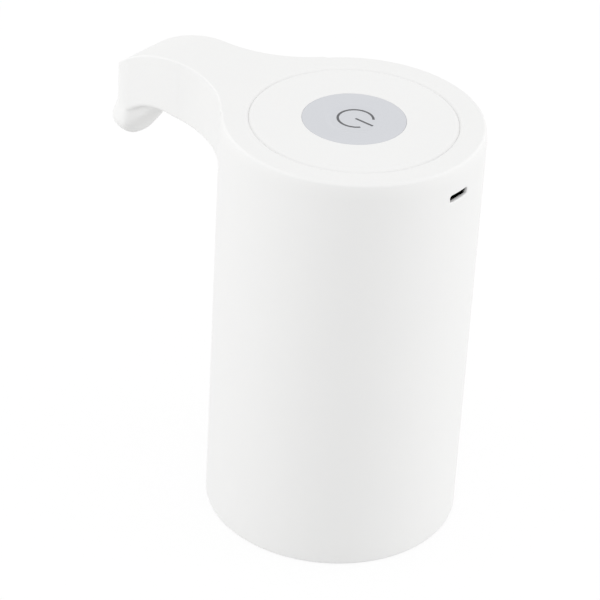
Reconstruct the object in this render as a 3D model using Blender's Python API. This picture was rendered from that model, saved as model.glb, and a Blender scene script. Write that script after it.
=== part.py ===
"""A rechargeable water pump that sits on the neck of a large water bottle.

A drum-shaped housing with a down-turned spout covers a battery, a motor, a small gear pump and a
control board. Everything hangs on a pump deck above the socket that takes the bottle's neck.

Lengths are in metres, +Z is up and the pump stands on z = 0. The spout points to -X. Places inside
the pump are counted from the drum's axis, which an empty named drum_axis carries.
"""

from math import atan2, cos, pi, radians, sin, sqrt

import bmesh
import bpy
from mathutils import Matrix, Vector

# The drum, whose radius follows from what stands side by side in it
BODY_HEIGHT = 0.1260
SHELL_WALL = 0.0022
TOP_EDGE_FILLET = 0.0009
BASE_EDGE_FILLET = 0.0006
ROOF_THICKNESS = 0.0044

# Clearances
SEAT_GAP = 0.0003
HOSE_WALL_ROOM = 0.0043
HOSE_MOTOR_ROOM = 0.0063
CELL_MOTOR_ROOM = 0.00215
CELL_WALL_ROOM = 0.00715
CELL_HEADROOM = 0.00315
WIRE_ROOM = 0.0030
CUT_OVERRUN = 0.0020
MERGE_DISTANCE = 0.0000002

# The spout arm, as heights below the top and distances out from the drum's side
ARM_HALF_WIDTH = 0.0088
ARM_NECK_HALF_WIDTH = 0.0097
ARM_LENGTH = 0.0390
ARM_ROOT_BLEND_RADIUS = 0.0340
ARM_ROOT_SINK = 0.0006
ARM_TOP_EDGE_FILLET = 0.0010
ARM_LOWER_EDGE_FILLET = 0.0008
ARM_WALL = 0.0020
ARM_FLAT_LENGTH = 0.0170
ARM_DROP_RADIUS = 0.0420
ARM_UNDERSIDE_FALL = 0.0013
ARM_SLOPE_LENGTH = 0.0250
ARM_ARCH_RADIUS = 0.0200
ARM_CAVITY_OVERLAP = 0.0043

# The turned-down mouth of the spout
MOUTH_TOP_DEPTH = 0.0150
MOUTH_HEIGHT = 0.0183
MOUTH_LENGTH = 0.0223
LIP_FLARE = 0.0020
LIP_DEPTH = 0.0265
MOUTH_HOLE_SETBACK = 0.0051
MOUTH_HOLE_RADIUS = 0.0022
NOZZLE_SEAT_RISE = 0.0034
# Each level: depth, front flare, back reach and half-width, as shares of the four sizes above
MOUTH_LEVEL_SHARES = (
    (0.00, -0.05, 1.000, 0.985),
    (0.16, -0.05, 0.960, 0.985),
    (0.33, 0.00, 0.810, 0.990),
    (0.48, 0.10, 0.690, 1.010),
    (0.63, 0.60, 0.580, 1.040),
    (0.76, 1.00, 0.490, 1.020),
    (0.87, 0.70, 0.425, 0.900),
    (0.95, -0.10, 0.380, 0.700),
    (1.00, -1.10, 0.360, 0.500),
)

# The top plate and its ledge
PLATE_MARGIN = 0.0081
PLATE_THICKNESS = 0.0020
LEDGE_OVERLAP = 0.0020
SNAP_RING_WALL = 0.0012
SNAP_RING_DEPTH = 0.0068
SNAP_RING_PLAY = 0.0004
SNAP_NOSE_WIDTH = 0.0060
SNAP_NOSE_REACH = 0.0012
SNAP_NOSE_HEIGHT = 0.0012
SNAP_NOSE_COUNT = 3

# The power button
BUTTON_RADIUS = 0.0144
BUTTON_DISH_DEPTH = 0.00035
BUTTON_EDGE_ROUND = 0.0003
BUTTON_FLANGE_REACH = 0.0012
BUTTON_FLANGE_HEIGHT = 0.0008
BUTTON_STEM_RADIUS = 0.0022
BUTTON_STEM_HEIGHT = 0.0019
BUTTON_TRAVEL = 0.0005
BUTTON_GUIDE_WALL = 0.0012
BUTTON_GUIDE_DEPTH = 0.0034

# The USB socket, whose centre is this far below the top
USB_CENTRE_DEPTH = 0.0091
USB_SLOT_WIDTH = 0.0082
USB_SLOT_HEIGHT = 0.0026
USB_SLOT_CORNER = 0.0009
USB_SHELL_WIDTH = 0.0076
USB_SHELL_HEIGHT = 0.0025
USB_SHELL_LENGTH = 0.0056
USB_SHELL_WALL = 0.0003
USB_SHELL_CORNER = 0.0007
USB_BACK_WALL = 0.0010
USB_TONGUE_WIDTH = 0.0042
USB_TONGUE_HEIGHT = 0.0006
USB_TONGUE_SETBACK = 0.0008
USB_WALL_GAP = 0.0004

# The control board and what it carries
BOARD_THICKNESS = 0.0012
BOARD_WALL_ROOM = 0.0012
BOARD_HOSE_ROOM = 0.0035
SWITCH_SIDE = 0.0060
SWITCH_HEIGHT = 0.0034
SWITCH_WELL_RADIUS = 0.0020
SWITCH_WELL_DEPTH = 0.0019
SWITCH_PLUNGER_RADIUS = 0.0017
CHIP_HEIGHT = 0.0015
CHARGE_CHIP_LENGTH = 0.0050
CHARGE_CHIP_WIDTH = 0.0040
CHARGE_CHIP_INSET = 0.0136
CHARGE_CHIP_Y = -0.0100
DRIVER_CHIP_LENGTH = 0.0060
DRIVER_CHIP_WIDTH = 0.0050
DRIVER_CHIP_X = -0.0080
DRIVER_CHIP_Y = 0.0140
CAPACITOR_RADIUS = 0.0025
CAPACITOR_HEIGHT = 0.0036
CAPACITOR_INSET = 0.0156
CAPACITOR_Y = 0.0110

# The battery, a 18650 cell
CELL_RADIUS = 0.00915
CELL_LENGTH = 0.0650
CELL_EDGE_ROUND = 0.0008
CELL_CAP_RADIUS = 0.0030
CELL_CAP_HEIGHT = 0.0008
CELL_CUP_WALL = 0.0014
CELL_CUP_HEIGHT = 0.0060
STRIP_WIDTH = 0.0040
STRIP_THICKNESS = 0.0004
STRIP_SLOT_PLAY = 0.0006

# The bottle socket, for a neck of 55 mm
SKIRT_ROOM = 0.0049
SOCKET_WALL = 0.0013
COLLAR_BASE_RISE = 0.0010
COLLAR_FLANGE_THICKNESS = 0.0020
COLLAR_STOP_THICKNESS = 0.0030
COLLAR_STOP_REACH = 0.0086
COLLAR_LEAD_IN = 0.0010
SEAL_WIDTH = 0.0078
SEAL_THICKNESS = 0.0020

# The pump deck
DECK_THICKNESS = 0.0030
DECK_RIM_PLAY = 0.0003
INTAKE_BORE_RADIUS = 0.0012
INTAKE_NECK_RADIUS = 0.0036
INTAKE_NECK_LENGTH = 0.0040
INTAKE_BARB_RADIUS = 0.0026
INTAKE_RIDGE_RISE = 0.0006
INTAKE_RIDGE_LENGTH = 0.0030
INTAKE_RIDGE_COUNT = 3
TOWER_RADIUS = 0.0035
TOWER_HEIGHT = 0.0015
DECK_SCREW_INSET = 0.0032
DECK_SCREW_ANGLES = (60, 180, -60)
SHELL_BOSS_RADIUS = 0.0035
SHELL_BOSS_HEIGHT = 0.0150
COLLAR_SCREW_INSET = 0.0041
COLLAR_SCREW_ANGLES = (60, 180, -60)
DECK_BOSS_RADIUS = 0.0025
DECK_BOSS_HEIGHT = 0.0050
PUMP_PILLAR_RADIUS = 0.0028

# The hoses and the barbs that they are pushed on
HOSE_RADIUS = 0.0035
HOSE_BORE_RADIUS = 0.00225
BARB_RADIUS = 0.00195
BARB_LENGTH = 0.0053
OUTLET_BARB_LENGTH = 0.0090
OUTLET_ROOF_ROOM = 0.0053
OUTLET_FLOOR_ROOM = 0.0014
OUTLET_HOSE_BEND = 0.0125

# The nozzle insert
NOZZLE_RADIUS = 0.0028
NOZZLE_BORE_RADIUS = 0.0018
NOZZLE_BEND_RADIUS = 0.0065
NOZZLE_BARB_LENGTH = 0.0060
NOZZLE_RUN = 0.0130

# The gear pump
GEAR_TEETH = 12
GEAR_TIP_RADIUS = 0.0062
GEAR_TOOTH_HEIGHT = 0.00185
GEAR_TIP_PLAY = 0.00025
GEAR_THICKNESS = 0.0082
TOOTH_TIP_HALF_ANGLE = 2.6
TOOTH_ROOT_HALF_ANGLE = 7.4
PUMP_SIDE_WALL = 0.0027
PUMP_END_WALL = 0.0030
PUMP_CORNER_RADIUS = 0.0020
PUMP_COVER_THICKNESS = 0.0027
PUMP_GASKET_THICKNESS = 0.0008
PUMP_ROOF_THICKNESS = 0.0039
PORT_RADIUS = 0.0022
PORT_OFFSET = 0.0050
INLET_HOSE_LENGTH = 0.0131
SEAL_POCKET_RADIUS = 0.0031
SEAL_POCKET_DEPTH = 0.0024
PUMP_EAR_RADIUS = 0.0036
PUMP_EAR_THICKNESS = 0.0030
PUMP_EAR_REACH = 0.0037
PUMP_SCREW_SIDE_INSET = 0.0023
PUMP_SCREW_END_INSET = 0.0024
OUTLET_DUCT_HALF_WIDTH = 0.0036
OUTLET_DUCT_DEPTH = 0.0045
PIN_HOLE_DEPTH = 0.0015

# The motor
MOTOR_RADIUS = 0.0122
MOTOR_LENGTH = 0.0280
MOTOR_WALL = 0.0009
END_BELL_FLANGE = 0.0020
END_BELL_PLUG = 0.0025
SHAFT_RADIUS = 0.0010
SHAFT_BORE_RADIUS = 0.0013
BUSH_RADIUS = 0.0026
BUSH_LENGTH = 0.0026
MAGNET_THICKNESS = 0.0028
MAGNET_LENGTH = 0.0180
MAGNET_HALF_ANGLE = 62
AIR_GAP = 0.0006
ARMATURE_LENGTH = 0.0150
ARMATURE_HUB_RADIUS = 0.0032
ARMATURE_POLES = 3
ARMATURE_NECK_HALF_WIDTH = 0.0016
ARMATURE_SHOE_THICKNESS = 0.0016
ARMATURE_SHOE_HALF_ANGLE = 47
ARMATURE_RISE = 0.0040
COMMUTATOR_RADIUS = 0.0024
COMMUTATOR_LENGTH = 0.0032
BRUSH_WIDTH = 0.0020
BRUSH_THICKNESS = 0.0004
BRUSH_SLOT_PLAY = 0.0003
BRUSH_TERMINAL_RISE = 0.0026
WIRE_RADIUS = 0.0006
WIRE_SPREAD = 0.0022

# The inner frame
FRAME_GRIP_DEPTH = 0.0053
FRAME_DECK_THICKNESS = 0.0020
FRAME_WALL_ROOM = 0.0018
FRAME_HOSE_ROOM = 0.0035
FRAME_LEG_RADIUS = 0.0025
FRAME_LEG_INSET = 0.0058
FRAME_LEG_ANGLES = (45, 125, -125, -45)
BOARD_SCREW_ANGLES = (45, -125)
FRAME_SLEEVE_WALL = 0.0009
FRAME_SLEEVE_DROP = 0.0020
FRAME_LIP_REACH = 0.0014
FRAME_LIP_THICKNESS = 0.0015
CELL_SLEEVE_RISE = 0.0040

# The screws, all of one size but for their length
SCREW_RADIUS = 0.0010
SCREW_HOLE_RADIUS = 0.0013
SCREW_HEAD_RADIUS = 0.0019
SCREW_HEAD_HEIGHT = 0.0013
SCREW_HEAD_POCKET_RADIUS = 0.0023
SCREW_HEAD_POCKET_DEPTH = 0.0016
SCREW_SOCKET_RADIUS = 0.0009
SCREW_SOCKET_DEPTH = 0.0008
SCREW_SHORT = 0.0060
SCREW_LONG = 0.0110
SCREW_TIP_ROOM = 0.0010

# How finely round shapes are divided
SHELL_STEPS = 72
PLATE_STEPS = 56
ROUND_STEPS = 36
SMALL_STEPS = 20
SCREW_STEPS = 10
FILLET_STEPS = 3
NOSE_STEPS = 16
BLEND_STEPS = 9
ARM_STEPS = 8
HOSE_STEPS = 16
BEND_STEPS = 8
SMOOTH_ANGLE = radians(32)

# What stands across the drum, from the hose to the cell, gives its radius and every place in it
WORKS_WIDTH = 2 * (HOSE_RADIUS + MOTOR_RADIUS + CELL_RADIUS) + HOSE_MOTOR_ROOM + CELL_MOTOR_ROOM
INNER_RADIUS = (HOSE_WALL_ROOM + WORKS_WIDTH + CELL_WALL_ROOM) / 2
BODY_RADIUS = INNER_RADIUS + SHELL_WALL
CELL_X = INNER_RADIUS - CELL_WALL_ROOM - CELL_RADIUS
PUMP_X = CELL_X - CELL_RADIUS - CELL_MOTOR_ROOM - MOTOR_RADIUS
OUTLET_TOWER_X = HOSE_WALL_ROOM + HOSE_RADIUS - INNER_RADIUS
INLET_X = PUMP_X + PORT_OFFSET
BOARD_RADIUS = INNER_RADIUS - BOARD_WALL_ROOM
BOARD_HOSE_CUT = -OUTLET_TOWER_X - HOSE_RADIUS - BOARD_HOSE_ROOM
CHARGE_CHIP_X = BOARD_RADIUS - CHARGE_CHIP_INSET
CAPACITOR_X = BOARD_RADIUS - CAPACITOR_INSET
FRAME_RADIUS = INNER_RADIUS - FRAME_WALL_ROOM
FRAME_HOSE_CUT = -OUTLET_TOWER_X - HOSE_RADIUS - FRAME_HOSE_ROOM
FRAME_LEG_CIRCLE = INNER_RADIUS - FRAME_LEG_INSET
DECK_SCREW_CIRCLE = INNER_RADIUS - DECK_SCREW_INSET
SOCKET_RADIUS = INNER_RADIUS - SKIRT_ROOM - SOCKET_WALL
COLLAR_STOP_RADIUS = SOCKET_RADIUS - COLLAR_STOP_REACH
COLLAR_SCREW_CIRCLE = SOCKET_RADIUS - COLLAR_SCREW_INSET
SEAL_OUTER_RADIUS = SOCKET_RADIUS - SEAT_GAP
PLATE_RADIUS = BODY_RADIUS - PLATE_MARGIN
ARM_NOSE_CENTRE = BODY_RADIUS + ARM_LENGTH
ARM_DROP_START = BODY_RADIUS + ARM_FLAT_LENGTH
ARM_ARCH_START = BODY_RADIUS + ARM_SLOPE_LENGTH
ARM_CAVITY_START = INNER_RADIUS - ARM_CAVITY_OVERLAP
GEAR_ROOT_RADIUS = GEAR_TIP_RADIUS - GEAR_TOOTH_HEIGHT
GEAR_SPACING = GEAR_TIP_RADIUS + GEAR_ROOT_RADIUS + GEAR_TIP_PLAY
PUMP_HALF_LENGTH = GEAR_TIP_RADIUS + PUMP_SIDE_WALL
PUMP_HALF_WIDTH = GEAR_SPACING / 2 + GEAR_TIP_RADIUS + PUMP_END_WALL
PUMP_EAR_OFFSET = PUMP_HALF_WIDTH + PUMP_EAR_REACH
PUMP_SCREW_X = PUMP_HALF_LENGTH - PUMP_SCREW_SIDE_INSET
PUMP_SCREW_Y = PUMP_HALF_WIDTH - PUMP_SCREW_END_INSET

# Heights that follow from the sizes above
ROOF_UNDERSIDE = BODY_HEIGHT - ROOF_THICKNESS
NOSE_FRONT = ARM_NOSE_CENTRE + ARM_HALF_WIDTH
SPOUT_REACH = NOSE_FRONT + LIP_FLARE
MOUTH_HOLE_CENTRE = NOSE_FRONT - MOUTH_HOLE_SETBACK
ARM_DROP_RUN = ARM_NOSE_CENTRE - ARM_DROP_START
ARM_DROP_AT_NOSE = ARM_DROP_RADIUS - sqrt(ARM_DROP_RADIUS**2 - ARM_DROP_RUN**2)
OUTLET_HOSE_DEPTH = ARM_DROP_AT_NOSE + OUTLET_ROOF_ROOM
ARM_DEPTH_AT_ARCH = OUTLET_HOSE_DEPTH + HOSE_RADIUS + OUTLET_FLOOR_ROOM + ARM_WALL
ARM_DEPTH_AT_ROOT = ARM_DEPTH_AT_ARCH + ARM_UNDERSIDE_FALL
NOZZLE_SHOULDER = MOUTH_HOLE_CENTRE - NOZZLE_RUN
DRUM_X = (SPOUT_REACH - BODY_RADIUS) / 2
BLEND_CENTRE_Y = ARM_NECK_HALF_WIDTH + ARM_ROOT_BLEND_RADIUS
BLEND_CENTRE_X = sqrt((BODY_RADIUS + ARM_ROOT_BLEND_RADIUS) ** 2 - BLEND_CENTRE_Y**2)
PLATE_UNDERSIDE = BODY_HEIGHT - PLATE_THICKNESS
LEDGE_TOP = PLATE_UNDERSIDE - SEAT_GAP
RECESS_RADIUS = PLATE_RADIUS + SEAT_GAP
LEDGE_RADIUS = RECESS_RADIUS - LEDGE_OVERLAP
USB_HEIGHT = BODY_HEIGHT - USB_CENTRE_DEPTH
BOARD_TOP = USB_HEIGHT - USB_SHELL_HEIGHT / 2 - SEAT_GAP
BOARD_UNDERSIDE = BOARD_TOP - BOARD_THICKNESS
CELL_STACK = 2 * SEAT_GAP + STRIP_THICKNESS + CELL_LENGTH + CELL_HEADROOM
PUMP_STACK = PUMP_COVER_THICKNESS + PUMP_GASKET_THICKNESS + GEAR_THICKNESS + PUMP_ROOF_THICKNESS
MOTOR_STACK = MOTOR_LENGTH + END_BELL_FLANGE + BRUSH_TERMINAL_RISE + WIRE_ROOM
WATER_STACK = TOWER_HEIGHT + INLET_HOSE_LENGTH + PUMP_STACK + MOTOR_STACK + 8 * SEAT_GAP
DECK_TOP = BOARD_UNDERSIDE - max(CELL_STACK, WATER_STACK)
DECK_HEIGHT = DECK_TOP - DECK_THICKNESS
CELL_BOTTOM = DECK_TOP + 2 * SEAT_GAP + STRIP_THICKNESS
TOWER_TOP = DECK_TOP + TOWER_HEIGHT
INLET_HOSE_BOTTOM = TOWER_TOP + SEAT_GAP
PUMP_COVER_UNDERSIDE = INLET_HOSE_BOTTOM + INLET_HOSE_LENGTH + SEAT_GAP
PUMP_COVER_TOP = PUMP_COVER_UNDERSIDE + PUMP_COVER_THICKNESS
PUMP_GASKET_BOTTOM = PUMP_COVER_TOP + SEAT_GAP
PUMP_BODY_BOTTOM = PUMP_GASKET_BOTTOM + PUMP_GASKET_THICKNESS + SEAT_GAP
GEAR_BOTTOM = PUMP_BODY_BOTTOM + SEAT_GAP
GEAR_POCKET_TOP = GEAR_BOTTOM + GEAR_THICKNESS + SEAT_GAP
PUMP_BODY_TOP = GEAR_POCKET_TOP + PUMP_ROOF_THICKNESS
OUTLET_DUCT_TOP = PUMP_BODY_TOP - SEAL_POCKET_DEPTH
MOTOR_BOTTOM = PUMP_BODY_TOP + SEAT_GAP
MOTOR_TOP = MOTOR_BOTTOM + MOTOR_LENGTH
END_BELL_TOP = MOTOR_TOP + SEAT_GAP + END_BELL_FLANGE
FRAME_DECK_HEIGHT = MOTOR_TOP - FRAME_GRIP_DEPTH
TERMINAL_TOP = END_BELL_TOP + BRUSH_TERMINAL_RISE
DRIVE_GEAR_Y = -GEAR_SPACING / 2
DRIVEN_GEAR_Y = GEAR_SPACING / 2
OUTLET_HOSE_HEIGHT = BODY_HEIGHT - OUTLET_HOSE_DEPTH
COLLAR_TOP = DECK_HEIGHT - SEAT_GAP
COLLAR_STOP_UNDERSIDE = COLLAR_TOP - COLLAR_STOP_THICKNESS
MOTOR_AXIS = (PUMP_X, DRIVE_GEAR_Y)
CELL_AXIS = (CELL_X, 0)
DRUM_AXIS = (0, 0)


def material(name, colour, roughness, metallic=0.0):
    """A plain plastic, rubber or metal."""
    made = bpy.data.materials.new(name)
    made.use_nodes = True
    shader = made.node_tree.nodes["Principled BSDF"]
    shader.inputs["Base Color"].default_value = (*colour, 1.0)
    shader.inputs["Roughness"].default_value = roughness
    shader.inputs["Metallic"].default_value = metallic
    made.diffuse_color = (*colour, 1.0)
    return made


def clear_scene():
    for thing in list(bpy.data.objects):
        bpy.data.objects.remove(thing, do_unlink=True)


def make_axis_empty():
    """The empty on the drum's axis that carries every piece."""
    axis = bpy.data.objects.new("drum_axis", None)
    axis.location = (DRUM_X, 0, 0)
    bpy.context.collection.objects.link(axis)
    return axis


clear_scene()
DRUM = make_axis_empty()
WHITE_PLASTIC = material("white_plastic", (0.88, 0.88, 0.87), 0.38)
GREY_PLASTIC = material("grey_plastic", (0.66, 0.67, 0.70), 0.42)
NATURAL_PLASTIC = material("natural_plastic", (0.78, 0.78, 0.74), 0.45)
BLACK_PLASTIC = material("black_plastic", (0.03, 0.03, 0.03), 0.45)
CLEAR_SILICONE = material("clear_silicone", (0.80, 0.82, 0.82), 0.30)
WHITE_SILICONE = material("white_silicone", (0.82, 0.82, 0.80), 0.55)
GEAR_PLASTIC = material("gear_plastic", (0.90, 0.88, 0.80), 0.40)
BOARD_GREEN = material("board_green", (0.02, 0.16, 0.06), 0.45)
CELL_WRAP = material("cell_wrap", (0.05, 0.18, 0.42), 0.35)
STEEL = material("steel", (0.62, 0.62, 0.63), 0.28, 1.0)
NICKEL = material("nickel", (0.70, 0.68, 0.62), 0.30, 1.0)
MAGNET = material("magnet", (0.10, 0.10, 0.11), 0.60)
COPPER = material("copper", (0.72, 0.38, 0.20), 0.35, 1.0)
BRONZE = material("bronze", (0.55, 0.40, 0.22), 0.45, 1.0)
WIRE_RED = material("wire_red", (0.55, 0.03, 0.03), 0.45)
WIRE_BLACK = material("wire_black", (0.02, 0.02, 0.02), 0.45)


def place(name, form, at, finish):
    """Turns a bmesh into an object whose origin stands on the axis at."""
    bmesh.ops.remove_doubles(form, verts=form.verts, dist=MERGE_DISTANCE)
    bmesh.ops.recalc_face_normals(form, faces=form.faces)
    mesh = bpy.data.meshes.new(name)
    form.to_mesh(mesh)
    form.free()
    mesh.shade_smooth()
    mesh.set_sharp_from_angle(angle=SMOOTH_ANGLE)
    piece = bpy.data.objects.new(name, mesh)
    piece.parent = DRUM
    piece.location = (at[0], at[1], 0)
    bpy.context.collection.objects.link(piece)
    if finish is not None:
        mesh.materials.append(finish)
    return piece


def turned(name, profile, at=DRUM_AXIS, finish=None, steps=ROUND_STEPS):
    """The closed outline profile, as (radius, height) points, turned about the axis at."""
    form = bmesh.new()
    ring = [form.verts.new((radius, 0, height)) for radius, height in profile]
    pairs = zip(ring, ring[1:] + ring[:1])
    edges = [form.edges.new(pair) for pair in pairs if pair[0].co.x > 0 or pair[1].co.x > 0]
    bmesh.ops.spin(
        form,
        geom=ring + edges,
        cent=(0, 0, 0),
        axis=(0, 0, 1),
        angle=2 * pi,
        steps=steps,
        use_merge=True,
    )
    bmesh.ops.remove_doubles(form, verts=form.verts, dist=MERGE_DISTANCE)
    flat_poles = []
    for corner in form.verts:
        heights = [edge.other_vert(corner).co.z for edge in corner.link_edges]
        on_axis = corner.co.xy.length < MERGE_DISTANCE
        if on_axis and max(abs(height - corner.co.z) for height in heights) < MERGE_DISTANCE:
            flat_poles.append(corner)
    bmesh.ops.dissolve_verts(form, verts=flat_poles)
    return place(name, form, at, finish)


def rod(name, radius, low, high, at=DRUM_AXIS, finish=None, steps=SMALL_STEPS):
    profile = [(0, low), (radius, low), (radius, high), (0, high)]
    return turned(name, profile, at, finish, steps)


def ring(name, inner, outer, low, high, at=DRUM_AXIS, finish=None, steps=ROUND_STEPS):
    profile = [(inner, low), (outer, low), (outer, high), (inner, high)]
    return turned(name, profile, at, finish, steps)


def prism(name, outline, low, high, at=DRUM_AXIS, finish=None, along="Z"):
    """The outline extruded from low to high, along Z or, for a (y, z) outline, along X."""
    form = bmesh.new()
    if along == "Z":
        points = [(x, y, low) for x, y in outline]
        shift = (0, 0, high - low)
    else:
        points = [(low, y, z) for y, z in outline]
        shift = (high - low, 0, 0)
    face = form.faces.new([form.verts.new(point) for point in points])
    grown = bmesh.ops.extrude_face_region(form, geom=[face])["geom"]
    moved = [item for item in grown if isinstance(item, bmesh.types.BMVert)]
    bmesh.ops.translate(form, verts=moved, vec=shift)
    return place(name, form, at, finish)


def block(name, x_side, y_side, low, high, at=DRUM_AXIS, finish=None):
    """A box centred on the axis at."""
    x, y = x_side / 2, y_side / 2
    return prism(name, [(-x, -y), (x, -y), (x, y), (-x, y)], low, high, at, finish)


def arc_points(centre, radius, start, stop, steps):
    """Points on a circle, from the angle start to the angle stop."""
    angles = [start + (stop - start) * step / steps for step in range(steps + 1)]
    return [(centre[0] + radius * cos(a), centre[1] + radius * sin(a)) for a in angles]


def rounded_outline(half_x, half_y, corner, centre=(0, 0)):
    """A rectangle with round corners, as one outline."""
    points = []
    corners = ((1, 1, 0), (-1, 1, pi / 2), (-1, -1, pi), (1, -1, 3 * pi / 2))
    for sign_x, sign_y, start in corners:
        middle = (centre[0] + sign_x * (half_x - corner), centre[1] + sign_y * (half_y - corner))
        points += arc_points(middle, corner, start, start + pi / 2, FILLET_STEPS)
    return points


def tongue_outline(start, end, half_width):
    """A straight tongue from start to end, with a round tip of half_width at end."""
    facing = atan2(end[1] - start[1], end[0] - start[0])
    tip = arc_points(end, half_width, facing - pi / 2, facing + pi / 2, SCREW_STEPS)
    side = (half_width * sin(facing), -half_width * cos(facing))
    return [
        (start[0] + side[0], start[1] + side[1]),
        *tip,
        (start[0] - side[0], start[1] - side[1]),
    ]


def on_circle(radius, degrees):
    return (radius * cos(radians(degrees)), radius * sin(radians(degrees)))


def combine(piece, tool, operation):
    """Adds a live Boolean and hides its tool."""
    boolean = piece.modifiers.new(f"{operation.lower()} {tool.name}", "BOOLEAN")
    boolean.operation = operation
    boolean.solver = "EXACT"
    boolean.object = tool
    tool.hide_render = True
    tool.display_type = "WIRE"


def cut(piece, *tools):
    for tool in tools:
        combine(piece, tool, "DIFFERENCE")


def add(piece, *tools):
    for tool in tools:
        combine(piece, tool, "UNION")


def screw(name, at, head_seat, length, up=True):
    """A pan-head screw with a round drive socket. Its head rests on head_seat and it points up or down."""
    way = 1 if up else -1
    seat = head_seat - way * SEAT_GAP
    head = seat - way * SCREW_HEAD_HEIGHT
    tip = seat + way * length
    profile = [
        (0, head + way * SCREW_SOCKET_DEPTH),
        (SCREW_SOCKET_RADIUS, head + way * SCREW_SOCKET_DEPTH),
        (SCREW_SOCKET_RADIUS, head),
        (SCREW_HEAD_RADIUS, head),
        (SCREW_HEAD_RADIUS, seat),
        (SCREW_RADIUS, seat),
        (SCREW_RADIUS, tip - way * SCREW_RADIUS),
        (0, tip),
    ]
    return turned(name, profile, at, STEEL, SCREW_STEPS)


def swept_tube(name, stations, finish, steps=HOSE_STEPS):
    """A tube through stations, each (point, outer radius, bore radius), in the plane y = 0."""
    form = bmesh.new()
    rings = []
    for index, (point, outer, bore) in enumerate(stations):
        before = stations[max(index - 1, 0)][0]
        after = stations[min(index + 1, len(stations) - 1)][0]
        if (Vector(before) - Vector(point)).length == 0 and index > 0:
            before = stations[index - 2][0]
        if (Vector(after) - Vector(point)).length == 0 and index < len(stations) - 2:
            after = stations[index + 2][0]
        forward = (Vector(after) - Vector(before)).normalized()
        side = Vector((0, 1, 0))
        up = forward.cross(side)
        for radius, kind in ((outer, "outer"), (bore, "bore")):
            circle = []
            for step in range(steps):
                turn = 2 * pi * step / steps
                spot = Vector(point) + radius * (cos(turn) * side + sin(turn) * up)
                circle.append(form.verts.new(spot))
            rings.append((kind, circle))
    outers = [circle for kind, circle in rings if kind == "outer"]
    bores = [circle for kind, circle in rings if kind == "bore"]
    loops = outers + bores[::-1]
    for first, second in zip(loops, loops[1:] + loops[:1]):
        for step in range(steps):
            following = (step + 1) % steps
            form.faces.new((first[step], first[following], second[following], second[step]))
    return place(name, form, DRUM_AXIS, finish)


def arm_top(distance):
    """Height of the arm's top at a distance from the drum's axis."""
    past = max(distance - ARM_DROP_START, 0)
    return BODY_HEIGHT - (ARM_DROP_RADIUS - sqrt(ARM_DROP_RADIUS**2 - past**2))


def arm_underside(distance):
    """Height of the arm's underside: a slight slope, then an arch that turns down to the lip."""
    if distance <= ARM_ARCH_START:
        share = (ARM_ARCH_START - distance) / (ARM_ARCH_START - BODY_RADIUS)
        return BODY_HEIGHT - ARM_DEPTH_AT_ARCH - (ARM_DEPTH_AT_ROOT - ARM_DEPTH_AT_ARCH) * share
    past = min(distance - ARM_ARCH_START, ARM_ARCH_RADIUS)
    fall = ARM_ARCH_RADIUS - sqrt(ARM_ARCH_RADIUS**2 - past**2)
    return BODY_HEIGHT - min(ARM_DEPTH_AT_ARCH + fall, LIP_DEPTH)


def arm_half_outline(inset, first_angle):
    """One side of the arm in plan, from its root blend to its nose, drawn in by inset."""
    blend = arc_points(
        (BLEND_CENTRE_X, BLEND_CENTRE_Y),
        ARM_ROOT_BLEND_RADIUS + inset,
        first_angle,
        -pi / 2,
        BLEND_STEPS,
    )
    side = []
    for step in range(1, ARM_STEPS):
        share = step / ARM_STEPS
        distance = BLEND_CENTRE_X + (ARM_NOSE_CENTRE - BLEND_CENTRE_X) * share
        taper = (ARM_NECK_HALF_WIDTH - ARM_HALF_WIDTH) * (1 + cos(pi * share)) / 2
        side.append((distance, ARM_HALF_WIDTH + taper - inset))
    nose = arc_points((ARM_NOSE_CENTRE, 0), ARM_HALF_WIDTH - inset, pi / 2, 0, NOSE_STEPS // 2)
    return blend + side + nose


def stack_of_rings(rings):
    """A closed bmesh through rings of points that start and end at the root and pass the nose."""
    form = bmesh.new()
    loops = [[form.verts.new(point) for point in ring_points] for ring_points in rings]
    count = len(loops[0])
    for low, high in zip(loops, loops[1:]):
        for index in range(count - 1):
            form.faces.new((low[index], low[index + 1], high[index + 1], high[index]))
    for loop in (loops[0], loops[-1]):
        for index in range(count // 2):
            far = count - 1 - index
            corners = [loop[index], loop[index + 1], loop[far - 1], loop[far]]
            form.faces.new(list(dict.fromkeys(corners)))
    bmesh.ops.holes_fill(form, edges=[edge for edge in form.edges if edge.is_boundary], sides=0)
    bmesh.ops.triangulate(form, faces=form.faces)
    return form


def arm_ring(inset, first_angle, height_of, root=None):
    """A ring of points round the arm, with the spout pointing to -X."""
    half = arm_half_outline(inset, first_angle)
    if root is not None:
        half = [(root[0], root[1] - inset)] + half
    plan = half + [(x, -y) for x, y in reversed(half[:-1])]
    return [(-x, y, height_of(x)) for x, y in plan]


def fillet_rings(radius, steps):
    """Pairs of inset and drop that round an edge, from its flat face to its side."""
    turns = [pi / 2 * step / steps for step in range(steps + 1)]
    return [(radius * (1 - sin(turn)), radius * (1 - cos(turn))) for turn in turns]


def spout_arm():
    """The arm's outer form, with its root sunk in the drum."""
    tangent = atan2(BLEND_CENTRE_Y, BLEND_CENTRE_X)
    first_angle = tangent - pi + radians(2)
    sunk = BODY_RADIUS - ARM_ROOT_SINK
    root = (sunk * cos(tangent + radians(8)), sunk * sin(tangent + radians(8)))
    rings = []
    for inset, rise in fillet_rings(ARM_LOWER_EDGE_FILLET, FILLET_STEPS // 2):
        rings.append(arm_ring(inset, first_angle, lambda x: arm_underside(x) + rise, root))
    for inset, drop in reversed(fillet_rings(ARM_TOP_EDGE_FILLET, FILLET_STEPS)):
        rings.append(arm_ring(inset, first_angle, lambda x: arm_top(x) - drop, root))
    return place("spout_arm", stack_of_rings(rings), DRUM_AXIS, None)


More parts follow.
